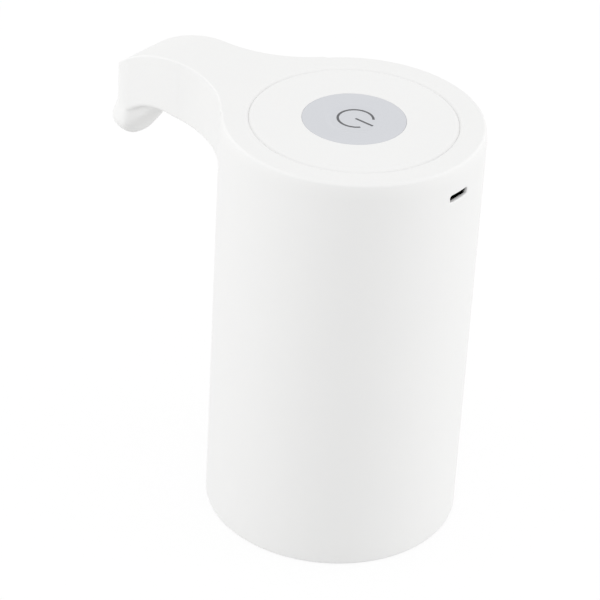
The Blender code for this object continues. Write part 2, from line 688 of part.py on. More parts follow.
def spout_cavity():
    """The hollow inside the arm, one wall in from its outside."""
    radius = ARM_ROOT_BLEND_RADIUS + ARM_WALL
    first_angle = -pi + atan2(
        sqrt(radius**2 - (BLEND_CENTRE_X - ARM_CAVITY_START) ** 2),
        BLEND_CENTRE_X - ARM_CAVITY_START,
    )
    floor = arm_ring(ARM_WALL, first_angle, lambda x: arm_underside(x) + ARM_WALL)
    roof = arm_ring(ARM_WALL, first_angle, lambda x: arm_top(x) - ARM_WALL)
    return place("spout_cavity", stack_of_rings([floor, roof]), DRUM_AXIS, None)


def spout_mouth():
    """The rounded, turned-down end of the spout, as level rings that flare and close in again."""
    form = bmesh.new()
    loops = []
    for depth_share, flare_share, back_share, width_share in MOUTH_LEVEL_SHARES:
        height = BODY_HEIGHT - MOUTH_TOP_DEPTH - MOUTH_HEIGHT * depth_share
        half_width = ARM_HALF_WIDTH * width_share
        front = NOSE_FRONT + LIP_FLARE * flare_share
        back = NOSE_FRONT - MOUTH_LENGTH * back_share
        middle = front - half_width
        loop = []
        for step in range(2 * NOSE_STEPS):
            turn = pi * step / NOSE_STEPS
            reach = half_width if cos(turn) >= 0 else middle - back
            spot = (-(middle + reach * cos(turn)), half_width * sin(turn), height)
            loop.append(form.verts.new(spot))
        loops.append(loop)
    for upper, lower in zip(loops, loops[1:]):
        for step in range(2 * NOSE_STEPS):
            following = (step + 1) % (2 * NOSE_STEPS)
            form.faces.new((upper[step], upper[following], lower[following], lower[step]))
    form.faces.new(loops[0])
    form.faces.new(loops[-1])
    bmesh.ops.triangulate(form, faces=form.faces)
    return place("spout_mouth", form, DRUM_AXIS, None)


def outer_housing():
    """The drum and the spout in one moulding, open below, with the USB slot at the back."""
    top_fillet = arc_points(
        (BODY_RADIUS - TOP_EDGE_FILLET, BODY_HEIGHT - TOP_EDGE_FILLET),
        TOP_EDGE_FILLET,
        0,
        pi / 2,
        FILLET_STEPS,
    )
    base_fillet = arc_points(
        (BODY_RADIUS - BASE_EDGE_FILLET, BASE_EDGE_FILLET),
        BASE_EDGE_FILLET,
        -pi / 2,
        0,
        FILLET_STEPS // 2,
    )
    profile = [(0, 0)] + base_fillet + top_fillet + [(0, BODY_HEIGHT)]
    housing = turned("outer_housing", profile, DRUM_AXIS, WHITE_PLASTIC, SHELL_STEPS)
    add(housing, spout_arm(), spout_mouth())
    inside = [
        (0, -CUT_OVERRUN),
        (INNER_RADIUS, -CUT_OVERRUN),
        (INNER_RADIUS, ROOF_UNDERSIDE),
        (LEDGE_RADIUS, ROOF_UNDERSIDE),
        (LEDGE_RADIUS, LEDGE_TOP),
        (RECESS_RADIUS, LEDGE_TOP),
        (RECESS_RADIUS, BODY_HEIGHT + CUT_OVERRUN),
        (0, BODY_HEIGHT + CUT_OVERRUN),
    ]
    mouth_bottom = BODY_HEIGHT - MOUTH_TOP_DEPTH - MOUTH_HEIGHT
    bore_top = OUTLET_HOSE_HEIGHT - NOZZLE_BEND_RADIUS
    bore_profile = [
        (0, mouth_bottom - CUT_OVERRUN),
        (MOUTH_HOLE_RADIUS, mouth_bottom - CUT_OVERRUN),
        (MOUTH_HOLE_RADIUS, mouth_bottom + NOZZLE_SEAT_RISE),
        (NOZZLE_RADIUS + SEAT_GAP, mouth_bottom + NOZZLE_SEAT_RISE),
        (NOZZLE_RADIUS + SEAT_GAP, bore_top),
        (0, bore_top),
    ]
    bore = turned("mouth_bore", bore_profile, (-MOUTH_HOLE_CENTRE, 0), None, SMALL_STEPS)
    hollow = turned("drum_hollow", inside, DRUM_AXIS, None, SHELL_STEPS)
    bore.rotation_euler = (0, 0, pi / SMALL_STEPS)
    hollow.rotation_euler = (0, 0, pi / SHELL_STEPS)
    cut(housing, bore, spout_cavity(), hollow)
    slot_outline = rounded_outline(
        USB_SLOT_WIDTH / 2, USB_SLOT_HEIGHT / 2, USB_SLOT_CORNER, (0, USB_HEIGHT)
    )
    slot = prism(
        "usb_slot",
        slot_outline,
        INNER_RADIUS - CUT_OVERRUN,
        BODY_RADIUS + CUT_OVERRUN,
        along="X",
    )
    cut(housing, slot)
    boss_low = DECK_TOP + SEAT_GAP
    boss_high = boss_low + SHELL_BOSS_HEIGHT
    for number, degrees in enumerate(DECK_SCREW_ANGLES, 1):
        centre = on_circle(DECK_SCREW_CIRCLE, degrees)
        add(housing, rod(f"shell_boss_{number}", SHELL_BOSS_RADIUS, boss_low, boss_high, centre))
        pilot = rod(
            f"shell_pilot_{number}",
            SCREW_HOLE_RADIUS,
            boss_low - CUT_OVERRUN,
            boss_low + SCREW_LONG + SCREW_TIP_ROOM,
            centre,
            steps=SCREW_STEPS,
        )
        cut(housing, pilot)
    return housing


def top_plate():
    """The round plate inside the ring groove, with a guide for the button and a snap ring."""
    button_hole = BUTTON_RADIUS + SEAT_GAP
    guide_inner = BUTTON_RADIUS + BUTTON_FLANGE_REACH + SEAT_GAP
    guide_outer = guide_inner + BUTTON_GUIDE_WALL
    guide_bottom = PLATE_UNDERSIDE - BUTTON_GUIDE_DEPTH
    snap_outer = LEDGE_RADIUS - SNAP_RING_PLAY
    snap_inner = snap_outer - SNAP_RING_WALL
    snap_bottom = PLATE_UNDERSIDE - SNAP_RING_DEPTH
    profile = [
        (button_hole, PLATE_UNDERSIDE),
        (guide_inner, PLATE_UNDERSIDE),
        (guide_inner, guide_bottom),
        (guide_outer, guide_bottom),
        (guide_outer, PLATE_UNDERSIDE),
        (snap_inner, PLATE_UNDERSIDE),
        (snap_inner, snap_bottom),
        (snap_outer, snap_bottom),
        (snap_outer, PLATE_UNDERSIDE),
        (PLATE_RADIUS, PLATE_UNDERSIDE),
        (PLATE_RADIUS, BODY_HEIGHT - BUTTON_EDGE_ROUND),
        (PLATE_RADIUS - BUTTON_EDGE_ROUND, BODY_HEIGHT),
        (button_hole + BUTTON_EDGE_ROUND, BODY_HEIGHT),
        (button_hole, BODY_HEIGHT - BUTTON_EDGE_ROUND),
    ]
    plate = turned("top_plate", profile, DRUM_AXIS, WHITE_PLASTIC, PLATE_STEPS)
    nose_top = ROOF_UNDERSIDE - SEAT_GAP
    for number in range(SNAP_NOSE_COUNT):
        nose = block(
            f"snap_nose_{number + 1}",
            SNAP_RING_WALL + SNAP_NOSE_REACH,
            SNAP_NOSE_WIDTH,
            nose_top - SNAP_NOSE_HEIGHT,
            nose_top,
        )
        middle = snap_outer - SNAP_RING_WALL / 2 + SNAP_NOSE_REACH / 2
        turn = 360 * number / SNAP_NOSE_COUNT
        nose.location = (*on_circle(middle, turn), 0)
        nose.rotation_euler = (0, 0, radians(turn))
        add(plate, nose)
    return plate


def power_button():
    """The grey disc that is pressed, with its flange below the plate and its stem."""
    flange_radius = BUTTON_RADIUS + BUTTON_FLANGE_REACH
    flange_top = PLATE_UNDERSIDE - SEAT_GAP
    flange_bottom = flange_top - BUTTON_FLANGE_HEIGHT
    stem_bottom = flange_bottom - BUTTON_STEM_HEIGHT
    rim = BUTTON_RADIUS - BUTTON_EDGE_ROUND
    dish = []
    for step in range(FILLET_STEPS + 1):
        share = step / FILLET_STEPS
        radius = rim * (1 - share)
        dish.append((radius, BODY_HEIGHT - BUTTON_DISH_DEPTH * (1 - (radius / rim) ** 2)))
    profile = [
        (0, stem_bottom),
        (BUTTON_STEM_RADIUS, stem_bottom),
        (BUTTON_STEM_RADIUS, flange_bottom),
        (flange_radius, flange_bottom),
        (flange_radius, flange_top),
        (BUTTON_RADIUS, flange_top),
        (BUTTON_RADIUS, BODY_HEIGHT - BUTTON_EDGE_ROUND),
    ] + dish
    turned("power_button", profile, DRUM_AXIS, GREY_PLASTIC, PLATE_STEPS)
    return stem_bottom


def push_switch(stem_bottom):
    """The push switch under the button, in its body and its plunger."""
    low = BOARD_TOP + SEAT_GAP
    high = low + SWITCH_HEIGHT
    well_floor = high - SWITCH_WELL_DEPTH
    body = block("switch_body", SWITCH_SIDE, SWITCH_SIDE, low, high, finish=BLACK_PLASTIC)
    cut(body, rod("switch_well", SWITCH_WELL_RADIUS, well_floor, high + CUT_OVERRUN))
    plunger_low = well_floor + BUTTON_TRAVEL + SEAT_GAP
    plunger_high = stem_bottom - SEAT_GAP
    rod("switch_plunger", SWITCH_PLUNGER_RADIUS, plunger_low, plunger_high, finish=WHITE_PLASTIC)


def control_board():
    """The board, cut straight on the spout's side to let the hose rise past it."""
    board = rod("control_board", BOARD_RADIUS, BOARD_UNDERSIDE, BOARD_TOP, DRUM_AXIS, BOARD_GREEN, PLATE_STEPS)
    trim_depth = BOARD_RADIUS - BOARD_HOSE_CUT + CUT_OVERRUN
    trim = block(
        "board_trim",
        trim_depth,
        2 * BOARD_RADIUS,
        BOARD_UNDERSIDE - CUT_OVERRUN,
        BOARD_TOP + CUT_OVERRUN,
        (-BOARD_HOSE_CUT - trim_depth / 2, 0),
    )
    cut(board, trim)
    for number, degrees in enumerate(BOARD_SCREW_ANGLES, 1):
        hole = rod(
            f"board_hole_{number}",
            SCREW_HOLE_RADIUS,
            BOARD_UNDERSIDE - CUT_OVERRUN,
            BOARD_TOP + CUT_OVERRUN,
            on_circle(FRAME_LEG_CIRCLE, degrees),
            steps=SCREW_STEPS,
        )
        cut(board, hole)
        screw(
            f"board_screw_{number}",
            on_circle(FRAME_LEG_CIRCLE, degrees),
            BOARD_TOP,
            SCREW_SHORT,
            up=False,
        )


def board_parts():
    """The two chips and the capacitor that stand on the board."""
    low = BOARD_TOP + SEAT_GAP
    high = low + CHIP_HEIGHT
    charge_spot = (CHARGE_CHIP_X, CHARGE_CHIP_Y)
    block("charge_chip", CHARGE_CHIP_LENGTH, CHARGE_CHIP_WIDTH, low, high, charge_spot, BLACK_PLASTIC)
    driver_spot = (DRIVER_CHIP_X, DRIVER_CHIP_Y)
    block("driver_chip", DRIVER_CHIP_LENGTH, DRIVER_CHIP_WIDTH, low, high, driver_spot, BLACK_PLASTIC)
    spot = (CAPACITOR_X, CAPACITOR_Y)
    rod("capacitor", CAPACITOR_RADIUS, low, low + CAPACITOR_HEIGHT, spot, STEEL)


def usb_socket():
    """The metal socket behind the slot, with its tongue."""
    front = INNER_RADIUS - USB_WALL_GAP
    back = front - USB_SHELL_LENGTH
    middle = (0, USB_HEIGHT)
    outline = rounded_outline(USB_SHELL_WIDTH / 2, USB_SHELL_HEIGHT / 2, USB_SHELL_CORNER, middle)
    socket = prism("usb_socket", outline, back, front, finish=STEEL, along="X")
    mouth_outline = rounded_outline(
        USB_SHELL_WIDTH / 2 - USB_SHELL_WALL,
        USB_SHELL_HEIGHT / 2 - USB_SHELL_WALL,
        USB_SHELL_CORNER - USB_SHELL_WALL,
        middle,
    )
    mouth = prism("usb_mouth", mouth_outline, back + USB_BACK_WALL, front + CUT_OVERRUN, along="X")
    tongue_outline = [
        (-USB_TONGUE_WIDTH / 2, USB_HEIGHT - USB_TONGUE_HEIGHT / 2),
        (USB_TONGUE_WIDTH / 2, USB_HEIGHT - USB_TONGUE_HEIGHT / 2),
        (USB_TONGUE_WIDTH / 2, USB_HEIGHT + USB_TONGUE_HEIGHT / 2),
        (-USB_TONGUE_WIDTH / 2, USB_HEIGHT + USB_TONGUE_HEIGHT / 2),
    ]
    tongue = prism(
        "usb_tongue",
        tongue_outline,
        back + USB_BACK_WALL / 2,
        front - USB_TONGUE_SETBACK,
        along="X",
    )
    cut(socket, mouth)
    add(socket, tongue)


def battery():
    """The cell, with the strips that lead from both its ends up to the board."""
    top = CELL_BOTTOM + CELL_LENGTH - CELL_CAP_HEIGHT
    profile = [
        (0, CELL_BOTTOM),
        (CELL_RADIUS - CELL_EDGE_ROUND, CELL_BOTTOM),
        (CELL_RADIUS, CELL_BOTTOM + CELL_EDGE_ROUND),
        (CELL_RADIUS, top - CELL_EDGE_ROUND),
        (CELL_RADIUS - CELL_EDGE_ROUND, top),
        (CELL_CAP_RADIUS, top),
        (CELL_CAP_RADIUS, top + CELL_CAP_HEIGHT),
        (0, top + CELL_CAP_HEIGHT),
    ]
    turned("battery_cell", profile, CELL_AXIS, CELL_WRAP)
    board = BOARD_UNDERSIDE - SEAT_GAP
    outside = CELL_RADIUS + SEAT_GAP
    low = DECK_TOP + SEAT_GAP
    strip = block(
        "battery_negative_strip",
        outside + STRIP_THICKNESS + STRIP_WIDTH / 2,
        STRIP_WIDTH,
        low,
        low + STRIP_THICKNESS,
        (CELL_X + (outside + STRIP_THICKNESS - STRIP_WIDTH / 2) / 2, 0),
        NICKEL,
    )
    riser_x = CELL_X + outside + STRIP_THICKNESS / 2
    add(strip, block("negative_riser", STRIP_THICKNESS, STRIP_WIDTH, low, board, (riser_x, 0)))
    tab_low = CELL_BOTTOM + CELL_LENGTH + SEAT_GAP
    tab = block(
        "battery_positive_tab",
        2 * STRIP_WIDTH,
        STRIP_WIDTH,
        tab_low,
        tab_low + STRIP_THICKNESS,
        (CELL_X - STRIP_WIDTH / 2, 0),
        NICKEL,
    )
    tab_x = CELL_X - STRIP_WIDTH - STRIP_WIDTH / 2 + STRIP_THICKNESS / 2
    add(tab, block("positive_riser", STRIP_THICKNESS, STRIP_WIDTH, tab_low, board, (tab_x, 0)))


def intake_barb_profile():
    """The ridged barb that hangs into the bottle, from its tip up to the deck."""
    ridge_end = INTAKE_BARB_RADIUS + INTAKE_RIDGE_RISE
    tip = DECK_HEIGHT - INTAKE_NECK_LENGTH - INTAKE_RIDGE_COUNT * INTAKE_RIDGE_LENGTH
    points = [(INTAKE_BORE_RADIUS, tip), (INTAKE_BARB_RADIUS, tip)]
    for number in range(INTAKE_RIDGE_COUNT):
        top = tip + (number + 1) * INTAKE_RIDGE_LENGTH
        points += [(ridge_end, top - INTAKE_RIDGE_RISE), (INTAKE_BARB_RADIUS, top)]
    points[-1] = (INTAKE_NECK_RADIUS, DECK_HEIGHT - INTAKE_NECK_LENGTH)
    return points + [(INTAKE_NECK_RADIUS, DECK_HEIGHT)]


def pump_deck():
    """The plate above the bottle socket that carries the pump, the cell and the inner frame."""
    rim = INNER_RADIUS - DECK_RIM_PLAY
    sunk = DECK_TOP - DECK_THICKNESS / 2
    middle = INTAKE_NECK_RADIUS - SEAT_GAP
    inlet = (INLET_X, 0)
    deck = rod("pump_deck", rim, DECK_HEIGHT, DECK_TOP, DRUM_AXIS, NATURAL_PLASTIC, PLATE_STEPS)
    core_hole = rod(
        "core_hole",
        middle,
        DECK_HEIGHT - CUT_OVERRUN,
        DECK_TOP + CUT_OVERRUN,
        inlet,
        steps=SCREW_STEPS,
    )
    cut(deck, core_hole)
    core_profile = intake_barb_profile() + [
        (TOWER_RADIUS + SEAT_GAP, DECK_HEIGHT),
        (TOWER_RADIUS + SEAT_GAP, DECK_TOP - SEAT_GAP),
        (TOWER_RADIUS, DECK_TOP),
        (TOWER_RADIUS, TOWER_TOP),
        (BARB_RADIUS, TOWER_TOP),
        (BARB_RADIUS, TOWER_TOP + BARB_LENGTH),
        (INTAKE_BORE_RADIUS, TOWER_TOP + BARB_LENGTH),
    ]
    core = turned("intake_core", core_profile, inlet, None, SMALL_STEPS)
    add(deck, core)
    cup_inner = CELL_RADIUS + SEAT_GAP
    cup = ring(
        "cell_cup",
        cup_inner,
        cup_inner + CELL_CUP_WALL,
        sunk,
        DECK_TOP + CELL_CUP_HEIGHT,
        CELL_AXIS,
    )
    notch = block(
        "cup_notch",
        2 * CELL_CUP_WALL,
        STRIP_WIDTH + STRIP_SLOT_PLAY,
        DECK_TOP,
        DECK_TOP + CELL_CUP_HEIGHT + CUT_OVERRUN,
        (CELL_X + cup_inner + CELL_CUP_WALL / 2, 0),
    )
    cut(cup, notch)
    add(deck, cup)
    pillar_top = PUMP_BODY_BOTTOM - SEAT_GAP
    for number, side in enumerate((1, -1), 1):
        spot = (PUMP_X, side * PUMP_EAR_OFFSET)
        add(deck, rod(f"pump_pillar_{number}", PUMP_PILLAR_RADIUS, sunk, pillar_top, spot))
        pilot_low = pillar_top - SCREW_LONG - SCREW_TIP_ROOM
        pilot = rod(
            f"pillar_pilot_{number}",
            SCREW_HOLE_RADIUS,
            pilot_low,
            pillar_top + CUT_OVERRUN,
            spot,
            steps=SCREW_STEPS,
        )
        cut(deck, pilot)
    for number, degrees in enumerate(COLLAR_SCREW_ANGLES, 1):
        spot = on_circle(COLLAR_SCREW_CIRCLE, degrees)
        boss_top = DECK_TOP + DECK_BOSS_HEIGHT
        add(deck, rod(f"collar_boss_{number}", DECK_BOSS_RADIUS, sunk, boss_top, spot))
        pilot = rod(
            f"collar_pilot_{number}",
            SCREW_HOLE_RADIUS,
            DECK_HEIGHT - CUT_OVERRUN,
            DECK_HEIGHT + SCREW_SHORT,
            spot,
            steps=SCREW_STEPS,
        )
        cut(deck, pilot)
    pocketed_hole(deck, "deck_hole", DECK_SCREW_CIRCLE, DECK_SCREW_ANGLES)
    pocketed_hole(deck, "frame_hole", FRAME_LEG_CIRCLE, FRAME_LEG_ANGLES)


def pocketed_hole(piece, name, circle, angles):
    """Screw holes through the deck, each with a pocket for the head below."""
    for number, degrees in enumerate(angles, 1):
        spot = on_circle(circle, degrees)
        pocket_top = DECK_HEIGHT + SCREW_HEAD_POCKET_DEPTH
        profile = [
            (0, DECK_HEIGHT - CUT_OVERRUN),
            (SCREW_HEAD_POCKET_RADIUS, DECK_HEIGHT - CUT_OVERRUN),
            (SCREW_HEAD_POCKET_RADIUS, pocket_top),
            (SCREW_HOLE_RADIUS, pocket_top),
            (SCREW_HOLE_RADIUS, DECK_TOP + CUT_OVERRUN),
            (0, DECK_TOP + CUT_OVERRUN),
        ]
        cut(piece, turned(f"{name}_{number}", profile, spot, None, SCREW_STEPS))


def deck_screws():
    """The screws that hold the deck in the housing and the inner frame on the deck."""
    seat = DECK_HEIGHT + SCREW_HEAD_POCKET_DEPTH
    for number, degrees in enumerate(DECK_SCREW_ANGLES, 1):
        screw(f"deck_screw_{number}", on_circle(DECK_SCREW_CIRCLE, degrees), seat, SCREW_LONG)
    for number, degrees in enumerate(FRAME_LEG_ANGLES, 1):
        screw(f"frame_screw_{number}", on_circle(FRAME_LEG_CIRCLE, degrees), seat, SCREW_LONG)


def neck_collar():
    """The sleeve that slips over the bottle's neck, with its stop at the top and base flange."""
    rim = INNER_RADIUS - DECK_RIM_PLAY
    flange_top = COLLAR_BASE_RISE + COLLAR_FLANGE_THICKNESS
    outside = SOCKET_RADIUS + SOCKET_WALL
    profile = [
        (SOCKET_RADIUS + COLLAR_LEAD_IN, COLLAR_BASE_RISE),
        (rim, COLLAR_BASE_RISE),
        (rim, flange_top),
        (outside, flange_top),
        (outside, COLLAR_TOP),
        (COLLAR_STOP_RADIUS, COLLAR_TOP),
        (COLLAR_STOP_RADIUS, COLLAR_STOP_UNDERSIDE),
        (SOCKET_RADIUS, COLLAR_STOP_UNDERSIDE),
        (SOCKET_RADIUS, COLLAR_BASE_RISE + COLLAR_LEAD_IN),
    ]
    collar = turned("neck_collar", profile, DRUM_AXIS, NATURAL_PLASTIC, PLATE_STEPS)
    pocket_top = COLLAR_STOP_UNDERSIDE + SCREW_HEAD_POCKET_DEPTH
    for number, degrees in enumerate(COLLAR_SCREW_ANGLES, 1):
        spot = on_circle(COLLAR_SCREW_CIRCLE, degrees)
        hole_profile = [
            (0, COLLAR_STOP_UNDERSIDE - CUT_OVERRUN),
            (SCREW_HEAD_POCKET_RADIUS, COLLAR_STOP_UNDERSIDE - CUT_OVERRUN),
            (SCREW_HEAD_POCKET_RADIUS, pocket_top),
            (SCREW_HOLE_RADIUS, pocket_top),
            (SCREW_HOLE_RADIUS, COLLAR_TOP + CUT_OVERRUN),
            (0, COLLAR_TOP + CUT_OVERRUN),
        ]
        cut(collar, turned(f"collar_hole_{number}", hole_profile, spot, None, SCREW_STEPS))
        screw(f"collar_screw_{number}", spot, pocket_top, SCREW_SHORT)


def neck_seal():
    """The soft ring that the bottle's mouth presses against."""
    high = COLLAR_STOP_UNDERSIDE - SEAT_GAP
    ring(
        "neck_seal",
        SEAL_OUTER_RADIUS - SEAL_WIDTH,
        SEAL_OUTER_RADIUS,
        high - SEAL_THICKNESS,
        high,
        DRUM_AXIS,
        WHITE_SILICONE,
        PLATE_STEPS,
    )


def pump_outline():
    return rounded_outline(PUMP_HALF_LENGTH, PUMP_HALF_WIDTH, PUMP_CORNER_RADIUS)


def pump_screw_spots():
    signs = ((1, 1), (-1, 1), (-1, -1), (1, -1))
    return [(PUMP_X + x * PUMP_SCREW_X, y * PUMP_SCREW_Y) for x, y in signs]


def pump_chamber(name, low, high):
    """One tool that cuts the two gear pockets and the two ports beside their mesh."""
    radius = GEAR_TIP_RADIUS + SEAT_GAP
    drive_spot = (PUMP_X, DRIVE_GEAR_Y)
    driven_spot = (PUMP_X, DRIVEN_GEAR_Y)
    chamber = rod(f"{name}_drive_pocket", radius, low, high, drive_spot, steps=ROUND_STEPS)
    add(chamber, rod(f"{name}_driven_pocket", radius, low, high, driven_spot, steps=ROUND_STEPS))
    for label, side in (("inlet", 1), ("outlet", -1)):
        spot = (PUMP_X + side * PORT_OFFSET, 0)
        add(chamber, rod(f"{name}_{label}_port", PORT_RADIUS, low, high, spot))
    return chamber


def pump_body():
    """The pump's housing, with the gear chamber below, mounting ears and the outlet tower."""
    axis = (PUMP_X, 0)
    body = prism("pump_body", pump_outline(), PUMP_BODY_BOTTOM, PUMP_BODY_TOP, axis, GREY_PLASTIC)
    ear_top = PUMP_BODY_BOTTOM + PUMP_EAR_THICKNESS
    for number, side in enumerate((1, -1), 1):
        spot = (PUMP_X, side * PUMP_EAR_OFFSET)
        ear_start = side * (PUMP_HALF_WIDTH - PUMP_EAR_OFFSET - PUMP_CORNER_RADIUS)
        ear_outline = tongue_outline((0, ear_start), (0, 0), PUMP_EAR_RADIUS)
        add(body, prism(f"pump_ear_{number}", ear_outline, PUMP_BODY_BOTTOM, ear_top, spot))
        hole = rod(
            f"ear_hole_{number}",
            SCREW_HOLE_RADIUS,
            PUMP_BODY_BOTTOM - CUT_OVERRUN,
            ear_top + CUT_OVERRUN,
            spot,
            steps=SCREW_STEPS,
        )
        cut(body, hole)
        screw(f"pump_mount_screw_{number}", spot, ear_top, SCREW_LONG, up=False)
    duct_low = OUTLET_DUCT_TOP - OUTLET_DUCT_DEPTH - OUTLET_DUCT_HALF_WIDTH
    tower_spot = (OUTLET_TOWER_X, 0)
    duct_start = (PUMP_X - PUMP_HALF_LENGTH + PUMP_CORNER_RADIUS - OUTLET_TOWER_X, 0)
    duct_outline = tongue_outline(duct_start, (0, 0), OUTLET_DUCT_HALF_WIDTH)
    duct = prism("outlet_duct", duct_outline, duct_low, OUTLET_DUCT_TOP, tower_spot)
    barb_top = OUTLET_DUCT_TOP + OUTLET_BARB_LENGTH
    barb = rod("outlet_barb", BARB_RADIUS, OUTLET_DUCT_TOP - SEAT_GAP, barb_top, tower_spot)
    add(body, duct, barb)
    cut(body, pump_chamber("body", PUMP_BODY_BOTTOM - CUT_OVERRUN, GEAR_POCKET_TOP))
    channel_height = OUTLET_DUCT_TOP - OUTLET_DUCT_DEPTH
    channel_outline = arc_points((0, channel_height), INTAKE_BORE_RADIUS, 0, 2 * pi, SCREW_STEPS)[:-1]
    channel = prism(
        "outlet_channel",
        channel_outline,
        OUTLET_TOWER_X,
        PUMP_X - PORT_OFFSET,
        along="X",
    )
    riser = rod(
        "outlet_riser",
        INTAKE_BORE_RADIUS,
        channel_height,
        barb_top + CUT_OVERRUN,
        tower_spot,
        steps=SCREW_STEPS,
    )
    cut(body, channel, riser)
    shaft_hole = [
        (0, GEAR_POCKET_TOP - CUT_OVERRUN),
        (SHAFT_BORE_RADIUS, GEAR_POCKET_TOP - CUT_OVERRUN),
        (SHAFT_BORE_RADIUS, PUMP_BODY_TOP - SEAL_POCKET_DEPTH),
        (SEAL_POCKET_RADIUS, PUMP_BODY_TOP - SEAL_POCKET_DEPTH),
        (SEAL_POCKET_RADIUS, PUMP_BODY_TOP + CUT_OVERRUN),
        (0, PUMP_BODY_TOP + CUT_OVERRUN),
    ]
    cut(body, turned("shaft_hole", shaft_hole, MOTOR_AXIS, None, SMALL_STEPS))
    pin_hole = rod(
        "pin_hole",
        SHAFT_BORE_RADIUS,
        GEAR_POCKET_TOP - CUT_OVERRUN,
        GEAR_POCKET_TOP + PIN_HOLE_DEPTH,
        (PUMP_X, DRIVEN_GEAR_Y),
    )
    cut(body, pin_hole)
    for number, spot in enumerate(pump_screw_spots(), 1):
        pilot = rod(
            f"body_pilot_{number}",
            SCREW_HOLE_RADIUS,
            PUMP_BODY_BOTTOM - CUT_OVERRUN,
            PUMP_BODY_BOTTOM + SCREW_LONG,
            spot,
            steps=SCREW_STEPS,
        )
        cut(body, pilot)


def pump_gasket():
    """The flat gasket between the pump's body and its cover."""
    low, high = PUMP_GASKET_BOTTOM, PUMP_GASKET_BOTTOM + PUMP_GASKET_THICKNESS
    gasket = prism("pump_gasket", pump_outline(), low, high, (PUMP_X, 0), BLACK_PLASTIC)
    cut(gasket, pump_chamber("gasket", low - CUT_OVERRUN, high + CUT_OVERRUN))
    for number, spot in enumerate(pump_screw_spots(), 1):
        hole = rod(
            f"gasket_hole_{number}",
            SCREW_HOLE_RADIUS,
            low - CUT_OVERRUN,
            high + CUT_OVERRUN,
            spot,
            steps=SCREW_STEPS,
        )
        cut(gasket, hole)


def pump_cover():
    """The cover under the gears, with the inlet barb pointing down at the deck's barb."""
    axis = (PUMP_X, 0)
    cover = prism(
        "pump_cover", pump_outline(), PUMP_COVER_UNDERSIDE, PUMP_COVER_TOP, axis, GREY_PLASTIC
    )
    barb_low = PUMP_COVER_UNDERSIDE - BARB_LENGTH
    inlet = (INLET_X, 0)
    barb = rod("inlet_barb", BARB_RADIUS, barb_low, PUMP_COVER_UNDERSIDE + SEAT_GAP, inlet)
    add(cover, barb)
    bore = rod(
        "inlet_bore",
        INTAKE_BORE_RADIUS,
        barb_low - CUT_OVERRUN,
        PUMP_COVER_TOP + CUT_OVERRUN,
        inlet,
        steps=SCREW_STEPS,
    )
    cut(cover, bore)
    for label, y in (("shaft", DRIVE_GEAR_Y), ("pin", DRIVEN_GEAR_Y)):
        recess = rod(
            f"cover_{label}_recess",
            SHAFT_BORE_RADIUS,
            PUMP_COVER_TOP - PIN_HOLE_DEPTH,
            PUMP_COVER_TOP + CUT_OVERRUN,
            (PUMP_X, y),
        )
        cut(cover, recess)
    for number, spot in enumerate(pump_screw_spots(), 1):
        hole = rod(
            f"cover_hole_{number}",
            SCREW_HOLE_RADIUS,
            PUMP_COVER_UNDERSIDE - CUT_OVERRUN,
            PUMP_COVER_TOP + CUT_OVERRUN,
            spot,
            steps=SCREW_STEPS,
        )
        cut(cover, hole)
        screw(f"pump_screw_{number}", spot, PUMP_COVER_UNDERSIDE, SCREW_LONG)


def gear(name, y, tooth_at):
    """A pump gear whose teeth start at the angle tooth_at, in degrees."""
    pitch = 360 / GEAR_TEETH
    outline = []
    for tooth in range(GEAR_TEETH):
        middle = tooth_at + tooth * pitch
        outline += [
            on_circle(GEAR_ROOT_RADIUS, middle - TOOTH_ROOT_HALF_ANGLE),
            on_circle(GEAR_TIP_RADIUS, middle - TOOTH_TIP_HALF_ANGLE),
            on_circle(GEAR_TIP_RADIUS, middle + TOOTH_TIP_HALF_ANGLE),
            on_circle(GEAR_ROOT_RADIUS, middle + TOOTH_ROOT_HALF_ANGLE),
        ]
    top = GEAR_BOTTOM + GEAR_THICKNESS
    axis = (PUMP_X, y)
    wheel = prism(name, outline, GEAR_BOTTOM, top, axis, GEAR_PLASTIC)
    bore = rod(f"{name}_bore", SHAFT_BORE_RADIUS, GEAR_BOTTOM - CUT_OVERRUN, top + CUT_OVERRUN, axis)
    cut(wheel, bore)


def pump_gears():
    """The driving and the driven gear, in mesh, with the pin of the driven one."""
    gear("drive_gear", DRIVE_GEAR_Y, 90)
    gear("driven_gear", DRIVEN_GEAR_Y, 90 + 180 / GEAR_TEETH)
    rod(
        "driven_gear_pin",
        SHAFT_RADIUS,
        PUMP_COVER_TOP - PIN_HOLE_DEPTH + SEAT_GAP,
        GEAR_POCKET_TOP + PIN_HOLE_DEPTH - SEAT_GAP,
        (PUMP_X, DRIVEN_GEAR_Y),
        STEEL,
    )


def shaft_seal():
    """The lip seal where the motor's shaft enters the pump."""
    low = PUMP_BODY_TOP - SEAL_POCKET_DEPTH + SEAT_GAP
    ring(
        "shaft_seal",
        SHAFT_BORE_RADIUS,
        SEAL_POCKET_RADIUS - SEAT_GAP,
        low,
        PUMP_BODY_TOP,
        MOTOR_AXIS,
        BLACK_PLASTIC,
        SMALL_STEPS,
    )


def motor_can():
    """The motor's steel can, open at the top."""
    floor_top = MOTOR_BOTTOM + MOTOR_WALL
    inside = MOTOR_RADIUS - MOTOR_WALL
    profile = [
        (BUSH_RADIUS + SEAT_GAP, MOTOR_BOTTOM),
        (MOTOR_RADIUS, MOTOR_BOTTOM),
        (MOTOR_RADIUS, MOTOR_TOP),
        (inside, MOTOR_TOP),
        (inside, floor_top),
        (BUSH_RADIUS + SEAT_GAP, floor_top),
    ]
    turned("motor_can", profile, MOTOR_AXIS, STEEL)


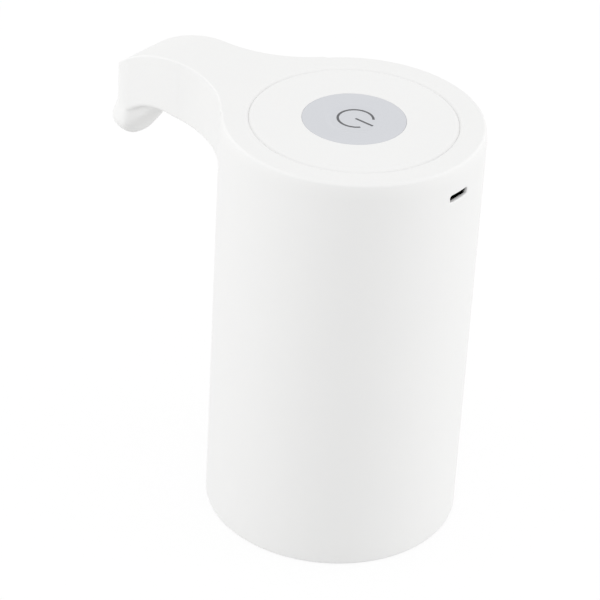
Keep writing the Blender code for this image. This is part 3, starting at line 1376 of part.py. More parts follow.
def motor_end_bell():
    """The plastic cap that closes the can, with slots for the brushes."""
    inside = MOTOR_RADIUS - MOTOR_WALL - SEAT_GAP
    bush_hole = BUSH_RADIUS + SEAT_GAP
    bell = turned(
        "motor_end_bell",
        [
            (0, END_BELL_TOP - MOTOR_WALL),
            (bush_hole, END_BELL_TOP - MOTOR_WALL),
            (bush_hole, MOTOR_TOP - END_BELL_PLUG),
            (inside, MOTOR_TOP - END_BELL_PLUG),
            (inside, MOTOR_TOP + SEAT_GAP),
            (MOTOR_RADIUS, MOTOR_TOP + SEAT_GAP),
            (MOTOR_RADIUS, END_BELL_TOP),
            (0, END_BELL_TOP),
        ],
        MOTOR_AXIS,
        BLACK_PLASTIC,
    )
    for number, side in enumerate((1, -1), 1):
        slot = block(
            f"brush_slot_{number}",
            BRUSH_THICKNESS + 2 * BRUSH_SLOT_PLAY,
            BRUSH_WIDTH + 2 * BRUSH_SLOT_PLAY,
            MOTOR_TOP - END_BELL_PLUG - CUT_OVERRUN,
            END_BELL_TOP + CUT_OVERRUN,
            (PUMP_X + side * brush_offset(), DRIVE_GEAR_Y),
        )
        cut(bell, slot)


def brush_offset():
    """How far a brush blade's middle stands from the motor's axis."""
    return BUSH_RADIUS + 2 * SEAT_GAP + BRUSH_THICKNESS / 2 + BRUSH_SLOT_PLAY


def commutator_top():
    return MOTOR_TOP - END_BELL_PLUG - SEAT_GAP


def motor_brushes():
    """The two blades that feed the commutator and end as the motor's terminals."""
    low = commutator_top() - COMMUTATOR_LENGTH
    for number, side in enumerate((1, -1), 1):
        spot = (PUMP_X + side * brush_offset(), DRIVE_GEAR_Y)
        blade = block(
            f"motor_brush_{number}", BRUSH_THICKNESS, BRUSH_WIDTH, low, TERMINAL_TOP, spot, COPPER
        )
        inner_face = COMMUTATOR_RADIUS + SEAT_GAP
        reach = brush_offset() - inner_face
        contact = block(
            f"brush_contact_{number}",
            reach,
            BRUSH_WIDTH,
            low,
            low + COMMUTATOR_LENGTH / 2,
            (PUMP_X + side * (inner_face + reach / 2), DRIVE_GEAR_Y),
        )
        add(blade, contact)


def motor_magnets():
    """The two curved magnets against the can."""
    outer = MOTOR_RADIUS - MOTOR_WALL - SEAT_GAP
    inner = outer - MAGNET_THICKNESS
    low = MOTOR_BOTTOM + MOTOR_WALL + ARMATURE_RISE - (MAGNET_LENGTH - ARMATURE_LENGTH) / 2
    half = radians(MAGNET_HALF_ANGLE)
    for number, facing in enumerate((0, pi), 1):
        outside = arc_points((0, 0), outer, facing - half, facing + half, SCREW_STEPS)
        inside = arc_points((0, 0), inner, facing + half, facing - half, SCREW_STEPS)
        prism(
            f"motor_magnet_{number}", outside + inside, low, low + MAGNET_LENGTH, MOTOR_AXIS, MAGNET
        )


def armature():
    """The three-pole core that spins between the magnets, with its commutator."""
    reach = MOTOR_RADIUS - MOTOR_WALL - SEAT_GAP - MAGNET_THICKNESS - AIR_GAP
    low = MOTOR_BOTTOM + MOTOR_WALL + ARMATURE_RISE
    high = low + ARMATURE_LENGTH
    core = rod("armature", ARMATURE_HUB_RADIUS, low, high, MOTOR_AXIS, COPPER)
    shoe_inner = reach - ARMATURE_SHOE_THICKNESS
    half = radians(ARMATURE_SHOE_HALF_ANGLE)
    for number in range(ARMATURE_POLES):
        facing = 2 * pi * number / ARMATURE_POLES
        neck = block(
            f"pole_neck_{number + 1}",
            shoe_inner + ARMATURE_SHOE_THICKNESS / 2,
            2 * ARMATURE_NECK_HALF_WIDTH,
            low,
            high,
            MOTOR_AXIS,
        )
        middle = (shoe_inner + ARMATURE_SHOE_THICKNESS / 2) / 2
        shift = Vector((middle * cos(facing), middle * sin(facing), 0))
        neck.location = Vector((*MOTOR_AXIS, 0)) + shift
        neck.rotation_euler = (0, 0, facing)
        outside = arc_points((0, 0), reach, facing - half, facing + half, SCREW_STEPS // 2)
        inside = arc_points((0, 0), shoe_inner, facing + half, facing - half, SCREW_STEPS // 2)
        shoe = prism(f"pole_shoe_{number + 1}", outside + inside, low, high, MOTOR_AXIS)
        add(core, neck, shoe)
    bore = rod("armature_bore", SHAFT_BORE_RADIUS, low - CUT_OVERRUN, high + CUT_OVERRUN, MOTOR_AXIS)
    cut(core, bore)
    top = commutator_top()
    ring(
        "commutator",
        SHAFT_BORE_RADIUS,
        COMMUTATOR_RADIUS,
        top - COMMUTATOR_LENGTH,
        top,
        MOTOR_AXIS,
        COPPER,
        SMALL_STEPS,
    )


def motor_shaft_and_bushes():
    """The shaft from the drive gear up to the end bell, in its two bushes."""
    rod(
        "motor_shaft",
        SHAFT_RADIUS,
        GEAR_BOTTOM,
        END_BELL_TOP - MOTOR_WALL - SEAT_GAP,
        MOTOR_AXIS,
        STEEL,
    )
    front_low = MOTOR_BOTTOM
    rear_high = END_BELL_TOP - MOTOR_WALL - SEAT_GAP
    for name, low, high in (
        ("motor_bush_front", front_low, front_low + BUSH_LENGTH),
        ("motor_bush_rear", rear_high - BUSH_LENGTH, rear_high),
    ):
        ring(name, SHAFT_BORE_RADIUS, BUSH_RADIUS, low, high, MOTOR_AXIS, BRONZE, SMALL_STEPS)


def motor_wires():
    """The two short leads from the motor's terminals up to the board."""
    low = TERMINAL_TOP + SEAT_GAP
    high = BOARD_UNDERSIDE - SEAT_GAP
    for number, side, finish in ((1, 1, WIRE_RED), (2, -1, WIRE_BLACK)):
        start = Vector((PUMP_X + side * brush_offset(), DRIVE_GEAR_Y, low))
        stop = Vector((start.x + side * WIRE_SPREAD, DRIVE_GEAR_Y, high))
        curve = bpy.data.curves.new(f"motor_wire_{number}", "CURVE")
        curve.dimensions = "3D"
        curve.bevel_depth = WIRE_RADIUS
        curve.bevel_resolution = 2
        curve.use_fill_caps = True
        line = curve.splines.new("POLY")
        line.points.add(BEND_STEPS)
        for step in range(BEND_STEPS + 1):
            share = step / BEND_STEPS
            sway = (1 - cos(pi * share)) / 2
            height = low + (high - low) * share
            spot = (start.x + (stop.x - start.x) * sway, DRIVE_GEAR_Y, height, 1)
            line.points[step].co = spot
        curve.materials.append(finish)
        wire = bpy.data.objects.new(f"motor_wire_{number}", curve)
        wire.parent = DRUM
        bpy.context.collection.objects.link(wire)


def inner_frame():
    """The frame that steadies the cell, clamps the motor down and carries the board."""
    deck_top = FRAME_DECK_HEIGHT + FRAME_DECK_THICKNESS
    frame = rod(
        "inner_frame",
        FRAME_RADIUS,
        FRAME_DECK_HEIGHT,
        deck_top,
        DRUM_AXIS,
        NATURAL_PLASTIC,
        PLATE_STEPS,
    )
    trim_depth = FRAME_RADIUS - FRAME_HOSE_CUT + CUT_OVERRUN
    trim = block(
        "frame_trim",
        trim_depth,
        2 * FRAME_RADIUS,
        FRAME_DECK_HEIGHT - CUT_OVERRUN,
        deck_top + CUT_OVERRUN,
        (-FRAME_HOSE_CUT - trim_depth / 2, 0),
    )
    cut(frame, trim)
    sleeve_low = FRAME_DECK_HEIGHT - FRAME_SLEEVE_DROP
    lip_low = END_BELL_TOP + SEAT_GAP
    lip_high = lip_low + FRAME_LIP_THICKNESS
    motor_hole = MOTOR_RADIUS + SEAT_GAP
    cell_hole = CELL_RADIUS + SEAT_GAP
    motor_profile = [
        (motor_hole, sleeve_low),
        (motor_hole + FRAME_SLEEVE_WALL, sleeve_low),
        (motor_hole + FRAME_SLEEVE_WALL, lip_high),
        (motor_hole - FRAME_LIP_REACH, lip_high),
        (motor_hole - FRAME_LIP_REACH, lip_low),
        (motor_hole, lip_low),
    ]
    motor_sleeve = turned("motor_sleeve", motor_profile, MOTOR_AXIS)
    cell_sleeve = ring(
        "cell_sleeve",
        cell_hole,
        cell_hole + FRAME_SLEEVE_WALL,
        sleeve_low,
        deck_top + CELL_SLEEVE_RISE,
        CELL_AXIS,
    )
    strip_slot = block(
        "strip_slot",
        2 * FRAME_SLEEVE_WALL,
        STRIP_WIDTH + STRIP_SLOT_PLAY,
        sleeve_low - CUT_OVERRUN,
        deck_top + CELL_SLEEVE_RISE + CUT_OVERRUN,
        (CELL_X + cell_hole + FRAME_SLEEVE_WALL / 2, 0),
    )
    for label, radius, spot in (("motor", motor_hole, MOTOR_AXIS), ("cell", cell_hole, CELL_AXIS)):
        room = rod(
            f"{label}_room",
            radius + FRAME_SLEEVE_WALL / 2,
            FRAME_DECK_HEIGHT - CUT_OVERRUN,
            deck_top + CUT_OVERRUN,
            spot,
            steps=ROUND_STEPS,
        )
        cut(frame, room)
    cut(cell_sleeve, strip_slot)
    cut(frame, strip_slot)
    add(frame, motor_sleeve, cell_sleeve)
    leg_low = DECK_TOP + SEAT_GAP
    leg_high = BOARD_UNDERSIDE - SEAT_GAP
    for number, degrees in enumerate(FRAME_LEG_ANGLES, 1):
        spot = on_circle(FRAME_LEG_CIRCLE, degrees)
        add(frame, rod(f"frame_leg_{number}", FRAME_LEG_RADIUS, leg_low, leg_high, spot))
        pilot = rod(
            f"leg_pilot_{number}",
            SCREW_HOLE_RADIUS,
            leg_low - CUT_OVERRUN,
            leg_low + SCREW_LONG + SCREW_TIP_ROOM,
            spot,
            steps=SCREW_STEPS,
        )
        cut(frame, pilot)
    for number, degrees in enumerate(BOARD_SCREW_ANGLES, 1):
        pilot = rod(
            f"board_pilot_{number}",
            SCREW_HOLE_RADIUS,
            leg_high - SCREW_SHORT,
            leg_high + CUT_OVERRUN,
            on_circle(FRAME_LEG_CIRCLE, degrees),
            steps=SCREW_STEPS,
        )
        cut(frame, pilot)


def inlet_hose():
    """The short hose from the deck's barb up to the pump's."""
    low = INLET_HOSE_BOTTOM
    high = low + INLET_HOSE_LENGTH
    ring(
        "inlet_hose",
        HOSE_BORE_RADIUS,
        HOSE_RADIUS,
        low,
        high,
        (INLET_X, 0),
        CLEAR_SILICONE,
        HOSE_STEPS,
    )


def outlet_hose():
    """The hose that rises from the pump's tower and bends into the spout."""
    low = OUTLET_DUCT_TOP + SEAT_GAP
    bend_low = OUTLET_HOSE_HEIGHT - OUTLET_HOSE_BEND
    centre = (OUTLET_TOWER_X - OUTLET_HOSE_BEND, bend_low)
    path = [(OUTLET_TOWER_X, low)]
    path += arc_points(centre, OUTLET_HOSE_BEND, 0, pi / 2, BEND_STEPS)
    path.append((-NOZZLE_SHOULDER + SEAT_GAP, OUTLET_HOSE_HEIGHT))
    stations = [((x, 0, z), HOSE_RADIUS, HOSE_BORE_RADIUS) for x, z in path]
    swept_tube("outlet_hose", stations, CLEAR_SILICONE)


def nozzle_insert():
    """The elbow in the spout's tip: a barb for the hose, a bend and the outlet pointing down."""
    bottom = BODY_HEIGHT - MOUTH_TOP_DEPTH - MOUTH_HEIGHT + NOZZLE_SEAT_RISE + SEAT_GAP
    centre = (-MOUTH_HOLE_CENTRE + NOZZLE_BEND_RADIUS, OUTLET_HOSE_HEIGHT - NOZZLE_BEND_RADIUS)
    bend = arc_points(centre, NOZZLE_BEND_RADIUS, pi / 2, pi, BEND_STEPS)
    shoulder = (-NOZZLE_SHOULDER, 0, OUTLET_HOSE_HEIGHT)
    barb_tip = (-NOZZLE_SHOULDER + NOZZLE_BARB_LENGTH, 0, OUTLET_HOSE_HEIGHT)
    stations = [
        (barb_tip, BARB_RADIUS, INTAKE_BORE_RADIUS),
        (shoulder, BARB_RADIUS, INTAKE_BORE_RADIUS),
        (shoulder, NOZZLE_RADIUS, INTAKE_BORE_RADIUS),
        ((-NOZZLE_SHOULDER - SEAT_GAP, 0, OUTLET_HOSE_HEIGHT), NOZZLE_RADIUS, NOZZLE_BORE_RADIUS),
    ]
    stations += [((x, 0, z), NOZZLE_RADIUS, NOZZLE_BORE_RADIUS) for x, z in bend]
    stations.append(((-MOUTH_HOLE_CENTRE, 0, bottom), NOZZLE_RADIUS, NOZZLE_BORE_RADIUS))
    swept_tube("nozzle_insert", stations, WHITE_SILICONE)


def main():
    outer_housing()
    top_plate()
    push_switch(power_button())
    control_board()
    board_parts()
    usb_socket()
    battery()
    pump_deck()
    deck_screws()
    neck_collar()
    neck_seal()
    pump_body()
    pump_gasket()
    pump_cover()
    pump_gears()
    shaft_seal()
    motor_can()
    motor_end_bell()
    motor_brushes()
    motor_magnets()
    armature()
    motor_shaft_and_bushes()
    motor_wires()
    inner_frame()
    inlet_hose()
    outlet_hose()
    nozzle_insert()


main()
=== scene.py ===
"""Looks of a bottled water pump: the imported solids, dressed and finished for a studio picture.

The drum, its spout, the plate and the button get finer pieces than the solids, and every other solid keeps its
form and gets a finish of its own. Lengths are in metres, +Z is up and the pump stands on z = 0, with its spout
pointing to -X. Places on the drum are counted from the drum's axis.
"""

import logging
from dataclasses import dataclass, field
from enum import Enum
from math import atan, atan2, cos, pi, radians, sin, sqrt

import bmesh
import bpy
from mathutils import Matrix, Vector


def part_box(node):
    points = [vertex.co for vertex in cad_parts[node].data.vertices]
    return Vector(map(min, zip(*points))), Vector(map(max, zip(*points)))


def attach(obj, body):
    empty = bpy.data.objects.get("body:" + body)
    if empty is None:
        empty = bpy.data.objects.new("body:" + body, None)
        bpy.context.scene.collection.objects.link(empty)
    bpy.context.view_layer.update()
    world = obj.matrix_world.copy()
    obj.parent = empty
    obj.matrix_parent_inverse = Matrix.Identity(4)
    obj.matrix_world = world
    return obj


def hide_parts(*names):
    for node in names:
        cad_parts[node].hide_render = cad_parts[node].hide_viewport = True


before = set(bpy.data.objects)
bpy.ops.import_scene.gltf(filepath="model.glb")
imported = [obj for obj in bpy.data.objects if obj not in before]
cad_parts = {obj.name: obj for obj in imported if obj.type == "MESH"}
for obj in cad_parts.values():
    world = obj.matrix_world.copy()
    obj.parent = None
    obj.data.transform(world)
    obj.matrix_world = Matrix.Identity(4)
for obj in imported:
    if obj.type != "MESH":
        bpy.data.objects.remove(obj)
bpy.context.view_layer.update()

LOG = logging.getLogger("water_pump_looks")
MILLIMETRE = 0.001
WELD_DISTANCE = 0.00002
FINE_WELD_DISTANCE = WELD_DISTANCE / 4
SHARP_DEGREES = 35.0
WORN_GAIN = 1.35
WORN_LIFT = 0.04
WHITE = (1.0, 1.0, 1.0, 1.0)

Colour = tuple[float, float, float]


class Body(Enum):
    """The bodies that the finer pieces ride on."""

    PUMP = "pump_unit"
    BUTTON = "button"


class Slot(Enum):
    """The record's material slots."""

    WHITE_PLASTIC = "white_plastic"
    GREY_PLASTIC = "grey_plastic"
    NATURAL_PLASTIC = "natural_plastic"
    BLACK_PLASTIC = "black_plastic"
    CLEAR_SILICONE = "clear_silicone"
    WHITE_SILICONE = "white_silicone"
    GEAR_PLASTIC = "gear_plastic"
    BOARD = "board_green"
    CELL_WRAP = "cell_wrap"
    STEEL = "steel"
    NICKEL = "nickel"
    MAGNET = "magnet"
    COPPER = "copper"
    BRONZE = "bronze"
    RED_WIRE = "wire_red"
    BLACK_WIRE = "wire_black"


class ShaderWeb:
    """A small helper that adds and joins the nodes of one tree."""

    def __init__(self, tree: bpy.types.NodeTree) -> None:
        """Keeps the tree.

        Args:
            tree: The node tree of a material, a world or a group.
        """
        self.tree = tree

    def feed(self, target: bpy.types.NodeSocket, value: object) -> None:
        """Gives an input a value, or a link where the value is a node's output."""
        if isinstance(value, bpy.types.NodeSocket):
            self.tree.links.new(value, target)
        else:
            target.default_value = value

    def node(self, kind: str, inputs: dict[str | int, object] | None = None, **settings: object) -> bpy.types.Node:
        """Adds a node.

        Args:
            kind: The node's type name.
            inputs: Numbers, colours or outputs for its inputs, by name or number.
            **settings: Its own properties, such as operation or data_type.

        Returns:
            The new node.
        """
        made = self.tree.nodes.new(kind)
        for key, value in settings.items():
            setattr(made, key, value)
        for key, value in (inputs or {}).items():
            self.feed(made.inputs[key], value)
        return made

    def maths(self, operation: str, *values: object) -> bpy.types.NodeSocket:
        """Adds a Math node.

        Args:
            operation: The Math node's operation.
            *values: Its inputs in order, each a socket or a number.

        Returns:
            The node's output.
        """
        return self.node("ShaderNodeMath", dict(enumerate(values)), operation=operation).outputs[0]

    def blend(self, factor: bpy.types.NodeSocket, low: object, high: object) -> bpy.types.NodeSocket:
        """Mixes two colours.

        Args:
            factor: The share of the second colour.
            low: A colour or a socket.
            high: A colour or a socket.

        Returns:
            The mixed colour.
        """
        made = self.node("ShaderNodeMix", {"Factor": factor}, data_type="RGBA")
        for socket, value in ((made.inputs[6], low), (made.inputs[7], high)):
            self.feed(socket, value if isinstance(value, bpy.types.NodeSocket) else (*value, 1.0))
        return made.outputs[2]

    def mix(self, factor: object, first: bpy.types.Node, second: bpy.types.Node) -> bpy.types.Node:
        """Mixes the first outputs of two shader nodes.

        Args:
            factor: The share of the second shader, a socket or a number.
            first: A shader node.
            second: A shader node.

        Returns:
            The node that mixes them.
        """
        return self.node("ShaderNodeMixShader", {0: factor, 1: first.outputs[0], 2: second.outputs[0]})


class SurfaceEffects:
    """The effects that several finishes share, each built once as a shader group."""

    def __init__(self) -> None:
        """Builds every group."""
        self.grain = self._grain()
        self.drift = self._drift()
        self.rings = self._rings()
        self.worn_edges = self._worn_edges()

    @staticmethod
    def _new_group(
        name: str, inputs: dict[str, float], outputs: tuple[str, ...]
    ) -> tuple[bpy.types.NodeTree, ShaderWeb, bpy.types.Node, bpy.types.Node]:
        """Starts a group, whose first input is a vector.

        Args:
            name: The group's name.
            inputs: The defaults of its number inputs, by name.
            outputs: The names of its number outputs.

        Returns:
            The group, its web, and its input and output nodes.
        """
        group = bpy.data.node_groups.new(name, "ShaderNodeTree")
        group.interface.new_socket(name="Vector", in_out="INPUT", socket_type="NodeSocketVector")
        for label, value in inputs.items():
            socket = group.interface.new_socket(name=label, in_out="INPUT", socket_type="NodeSocketFloat")
            socket.default_value = value
        for label in outputs:
            group.interface.new_socket(name=label, in_out="OUTPUT", socket_type="NodeSocketFloat")
        web = ShaderWeb(group)
        return group, web, web.node("NodeGroupInput"), web.node("NodeGroupOutput")

    def _grain(self) -> bpy.types.NodeTree:
        """Builds the fine spark-eroded grain of a mould, as a height."""
        group, web, way_in, way_out = self._new_group("mould_grain", {"Grain Size": 0.3 * MILLIMETRE}, ("Height",))
        place = way_in.outputs["Vector"]
        scale = web.maths("DIVIDE", 1.0, way_in.outputs["Grain Size"])
        fine = web.node("ShaderNodeTexNoise", {"Vector": place, "Scale": scale, "Detail": 3.0, "Roughness": 0.55})
        wider = web.maths("MULTIPLY", scale, 0.12)
        coarse = web.node("ShaderNodeTexNoise", {"Vector": place, "Scale": wider, "Detail": 1.0})
        height = web.maths("MULTIPLY_ADD", coarse.outputs["Fac"], 0.35, fine.outputs["Fac"])
        web.feed(way_out.inputs["Height"], height)
        return group

    def _drift(self) -> bpy.types.NodeTree:
        """Builds a slow change of tone and gloss over a surface."""
        defaults = {"Patch Size": 20 * MILLIMETRE, "Base Roughness": 0.4, "Roughness Swing": 0.05}
        group, web, way_in, way_out = self._new_group("slow_drift", defaults, ("Tone", "Roughness"))
        scale = web.maths("DIVIDE", 1.0, way_in.outputs["Patch Size"])
        patches = web.node("ShaderNodeTexNoise", {"Vector": way_in.outputs["Vector"], "Scale": scale, "Detail": 2.0})
        centred = web.maths("SUBTRACT", patches.outputs["Fac"], 0.5)
        swing = web.maths("MULTIPLY", centred, way_in.outputs["Roughness Swing"])
        web.feed(way_out.inputs["Tone"], patches.outputs["Fac"])
        web.feed(way_out.inputs["Roughness"], web.maths("ADD", swing, way_in.outputs["Base Roughness"]))
        return group

    def _rings(self) -> bpy.types.NodeTree:
        """Builds fine turning marks round an upright axis, as a height."""
        group, web, way_in, way_out = self._new_group("turning_marks", {"Ring Width": 0.2 * MILLIMETRE}, ("Height",))
        scale = web.maths("DIVIDE", 0.31, way_in.outputs["Ring Width"])
        wave = web.node(
            "ShaderNodeTexWave",
            {"Vector": way_in.outputs["Vector"], "Scale": scale, "Distortion": 1.5, "Detail": 2.0},
            wave_type="BANDS", bands_direction="Z",
        )
        web.feed(way_out.inputs["Height"], wave.outputs["Fac"])
        return group

    def _worn_edges(self) -> bpy.types.NodeTree:
        """Builds a mask of the edges that handling polishes, broken up by a noise."""
        group, web, way_in, way_out = self._new_group("worn_edges", {"Spread": 0.05}, ("Mask",))
        scale = 1 / (1.5 * MILLIMETRE)
        noise = web.node("ShaderNodeTexNoise", {"Vector": way_in.outputs["Vector"], "Scale": scale})
        edge = web.maths("SUBTRACT", web.node("ShaderNodeNewGeometry").outputs["Pointiness"], 0.5)
        sharp = web.maths("DIVIDE", edge, way_in.outputs["Spread"])
        broken = web.maths("MULTIPLY", sharp, noise.outputs["Fac"])
        web.feed(way_out.inputs["Mask"], web.node("ShaderNodeClamp", {"Value": broken}).outputs[0])
        return group


@dataclass(frozen=True)
class Finish:
    """A finish of the pump's own, from its colour to its grain.

    The second colour is what the slow drift runs to, and lengths are in metres.
    """

    name: str
    colour: Colour
    second: Colour
    roughness: float
    swing: float = 0.05
    patch: float = 18 * MILLIMETRE
    grain: float = 0.25 * MILLIMETRE
    depth: float = 0.004 * MILLIMETRE
    metallic: float = 0.0
    specular: float = 0.5
    coat: float = 0.0
    transmission: float = 0.0
    turned: bool = False
    worn: float = 0.0

    def make(self, effects: SurfaceEffects) -> bpy.types.Material:
        """Builds the material.

        Args:
            effects: The shared groups.

        Returns:
            The finished material.
        """
        material = bpy.data.materials.new(self.name)
        material.use_nodes = True
        web = ShaderWeb(material.node_tree)
        shader = material.node_tree.nodes["Principled BSDF"]
        place = web.node("ShaderNodeTexCoord").outputs["Object"]
        soft = {
            "Vector": place, "Patch Size": self.patch, "Base Roughness": self.roughness, "Roughness Swing": self.swing,
        }
        drift = web.node("ShaderNodeGroup", soft, node_tree=effects.drift)
        pattern = effects.rings if self.turned else effects.grain
        grain = web.node("ShaderNodeGroup", {"Vector": place, 1: self.grain}, node_tree=pattern)
        colour = web.blend(drift.outputs["Tone"], self.colour, self.second)
        if self.worn:
            edges = web.node("ShaderNodeGroup", {"Vector": place}, node_tree=effects.worn_edges)
            bright = tuple(min(1.0, channel * WORN_GAIN + WORN_LIFT) for channel in self.colour)
            share = web.maths("MULTIPLY", edges.outputs["Mask"], self.worn)
            colour = web.blend(share, colour, bright)
        bump = web.node("ShaderNodeBump", {"Strength": 1.0, "Distance": self.depth, "Height": grain.outputs["Height"]})
        for label, value in (
            ("Base Color", colour),
            ("Roughness", drift.outputs["Roughness"]),
            ("Metallic", self.metallic),
            ("Specular IOR Level", self.specular),
            ("Coat Weight", self.coat),
            ("Transmission Weight", self.transmission),
            ("Normal", bump.outputs["Normal"]),
        ):
            web.feed(shader.inputs[label], value)
        material.diffuse_color = (*self.colour, 1.0)
        return material


FINISHES: dict[Slot, Finish] = {
    Slot.WHITE_PLASTIC: Finish(
        "satin_white_shell", (0.875, 0.875, 0.870), (0.890, 0.890, 0.884), 0.50, 0.06, specular=0.2
    ),
    Slot.GREY_PLASTIC: Finish("pump_grey_resin", (0.42, 0.43, 0.45), (0.46, 0.47, 0.49), 0.46, 0.08),
    Slot.NATURAL_PLASTIC: Finish("milky_inner_plastic", (0.76, 0.76, 0.72), (0.80, 0.80, 0.76), 0.48, 0.08),
    Slot.BLACK_PLASTIC: Finish("black_component_case", (0.022, 0.022, 0.024), (0.034, 0.034, 0.036), 0.5, 0.1),
    Slot.CLEAR_SILICONE: Finish(
        "clear_hose", (0.86, 0.88, 0.88), (0.90, 0.91, 0.91), 0.22, 0.06, transmission=0.6
    ),
    Slot.WHITE_SILICONE: Finish("white_seal_rubber", (0.80, 0.80, 0.78), (0.84, 0.84, 0.82), 0.58, 0.08),
    Slot.GEAR_PLASTIC: Finish("slippery_gear_plastic", (0.84, 0.81, 0.72), (0.88, 0.86, 0.78), 0.36, 0.06),
    Slot.BOARD: Finish("board_lacquer", (0.010, 0.120, 0.045), (0.016, 0.150, 0.060), 0.34, 0.1, coat=0.3),
    Slot.CELL_WRAP: Finish("shrunk_cell_sleeve", (0.020, 0.140, 0.360), (0.030, 0.170, 0.400), 0.32, 0.1),
    Slot.STEEL: Finish("bright_steel", (0.60, 0.60, 0.61), (0.66, 0.66, 0.67), 0.28, 0.1, metallic=1.0, worn=0.5),
    Slot.NICKEL: Finish("nickel_strip", (0.66, 0.63, 0.57), (0.72, 0.69, 0.63), 0.30, 0.1, metallic=1.0),
    Slot.MAGNET: Finish("pressed_magnet", (0.075, 0.075, 0.08), (0.11, 0.11, 0.115), 0.62, 0.1),
    Slot.COPPER: Finish("copper_winding", (0.72, 0.36, 0.19), (0.62, 0.28, 0.14), 0.34, 0.1, metallic=1.0, turned=True),
    Slot.BRONZE: Finish("sintered_bronze", (0.52, 0.37, 0.20), (0.44, 0.31, 0.17), 0.48, 0.1, metallic=1.0),
    Slot.RED_WIRE: Finish("red_wire_sleeve", (0.52, 0.022, 0.022), (0.58, 0.035, 0.03), 0.42, 0.08),
    Slot.BLACK_WIRE: Finish("black_wire_sleeve", (0.018, 0.018, 0.018), (0.03, 0.03, 0.03), 0.42, 0.08),
}


@dataclass(frozen=True)
class DrumSizes:
    """The sizes that the outer pieces share, as the solids have them."""

    axis: float = 0.0249
    height: float = 0.1260
    radius: float = 0.0370
    inner_radius: float = 0.0348
    roof: float = 0.0044
    recess_radius: float = 0.0292
    ledge_radius: float = 0.0272
    plate_thickness: float = 0.0020
    button_radius: float = 0.0144
    gap: float = 0.0003
    overrun: float = 0.0010

    @property
    def ledge_top(self) -> float:
        """The height of the ledge that carries the plate."""
        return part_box("top_plate")[1].z - self.plate_thickness - self.gap


SIZES = DrumSizes()


def arc(centre: tuple[float, float], radius: float, start: float, stop: float, steps: int) -> list[tuple[float, float]]:
    """Points on a circle in a profile.

    Args:
        centre: The circle's middle.
        radius: Its radius.
        start: The first angle, in degrees.
        stop: The last angle, in degrees.
        steps: The number of steps between them.

    Returns:
        The points, both ends among them.
    """
    turns = [radians(start + (stop - start) * step / steps) for step in range(steps + 1)]
    return [(centre[0] + radius * cos(turn), centre[1] + radius * sin(turn)) for turn in turns]


def turned_form(profile: list[tuple[float, float]], steps: int) -> bmesh.types.BMesh:
    """Spins a closed profile round the upright axis.

    Args:
        profile: (radius, height) points, in order.
        steps: The number of steps of the turn.

    Returns:
        The solid, closed.
    """
    form = bmesh.new()
    ring = [form.verts.new((radius, 0, height)) for radius, height in profile]
    edges = [
        form.edges.new(pair)
        for pair in zip(ring, ring[1:] + ring[:1])
        if pair[0].co.x > 0 or pair[1].co.x > 0
    ]
    bmesh.ops.spin(
        form, geom=ring + edges, cent=(0, 0, 0), axis=(0, 0, 1), angle=2 * pi, steps=steps, use_merge=True
    )
    bmesh.ops.remove_doubles(form, verts=form.verts, dist=FINE_WELD_DISTANCE)
    return form


def linked(name: str, data: bpy.types.ID) -> bpy.types.Object:
    """Makes an object of some data and puts it in the scene."""
    made = bpy.data.objects.new(name, data)
    bpy.context.scene.collection.objects.link(made)
    return made


def loose_object(form: bmesh.types.BMesh, name: str) -> bpy.types.Object:
    """Turns a form into an object of the scene.

    Args:
        form: The form, which is used up.
        name: The object's name.

    Returns:
        The object, with its faces pointing out.
    """
    bmesh.ops.recalc_face_normals(form, faces=form.faces)
    mesh = bpy.data.meshes.new(name)
    form.to_mesh(mesh)
    form.free()
    return linked(name, mesh)


def block_form(size: tuple[float, float, float]) -> bmesh.types.BMesh:
    """Makes a block of a size, with its middle at the origin."""
    form = bmesh.new()
    bmesh.ops.create_cube(form, size=1)
    bmesh.ops.scale(form, verts=form.verts, vec=size)
    return form


def round_edges(form: bmesh.types.BMesh, edges: list[bmesh.types.BMEdge], radius: float, segments: int) -> None:
    """Rounds edges, also where the rounds overlap."""
    bmesh.ops.bevel(
        form, geom=edges, offset=radius, offset_type="OFFSET", affect="EDGES", segments=segments, profile=0.5,
        material=-1, clamp_overlap=False,
    )


def joined(base: bpy.types.Object, steps: list[tuple[str, bpy.types.Object]]) -> bpy.types.Object:
    """Adds tools to a solid or cuts them from it, in order, and removes them.

    Args:
        base: The solid that is worked on.
        steps: Pairs of "UNION" or "DIFFERENCE" and a tool.

    Returns:
        The solid, with its new mesh.
    """
    for operation, tool in steps:
        work = base.modifiers.new(operation.lower(), "BOOLEAN")
        work.operation = operation
        work.solver = "EXACT"
        work.object = tool
    shown = base.evaluated_get(bpy.context.evaluated_depsgraph_get())
    base.modifiers.clear()
    base.data = bpy.data.meshes.new_from_object(shown)
    for _, tool in steps:
        bpy.data.objects.remove(tool)
    return base


def dressed(
    piece: bpy.types.Object, body: Body, material: bpy.types.Material, stands_for: tuple[str, ...] = ()
) -> bpy.types.Object:
    """Moves a piece to the drum's axis, shades it, and gives it its body and material.

    Args:
        piece: The piece, made round the origin.
        body: The body that it rides on.
        material: Its material.
        stands_for: The solids that it is shown in place of.

    Returns:
        The piece.
    """
    form = bmesh.new()
    form.from_mesh(piece.data)
    bmesh.ops.remove_doubles(form, verts=form.verts, dist=FINE_WELD_DISTANCE)
    bmesh.ops.translate(form, verts=form.verts, vec=(SIZES.axis, 0, 0))
    form.to_mesh(piece.data)
    form.free()
    piece.data.shade_smooth()
    piece.data.set_sharp_from_angle(angle=radians(SHARP_DEGREES))
    even = piece.modifiers.new("even shading", "WEIGHTED_NORMAL")
    even.keep_sharp = True
    piece.data.materials.clear()
    piece.data.materials.append(material)
    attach(piece, body.value)
    if stands_for:
        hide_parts(*stands_for)
    LOG.info("%s: %d faces on %s", piece.name, len(piece.data.polygons), body.value)
    return piece


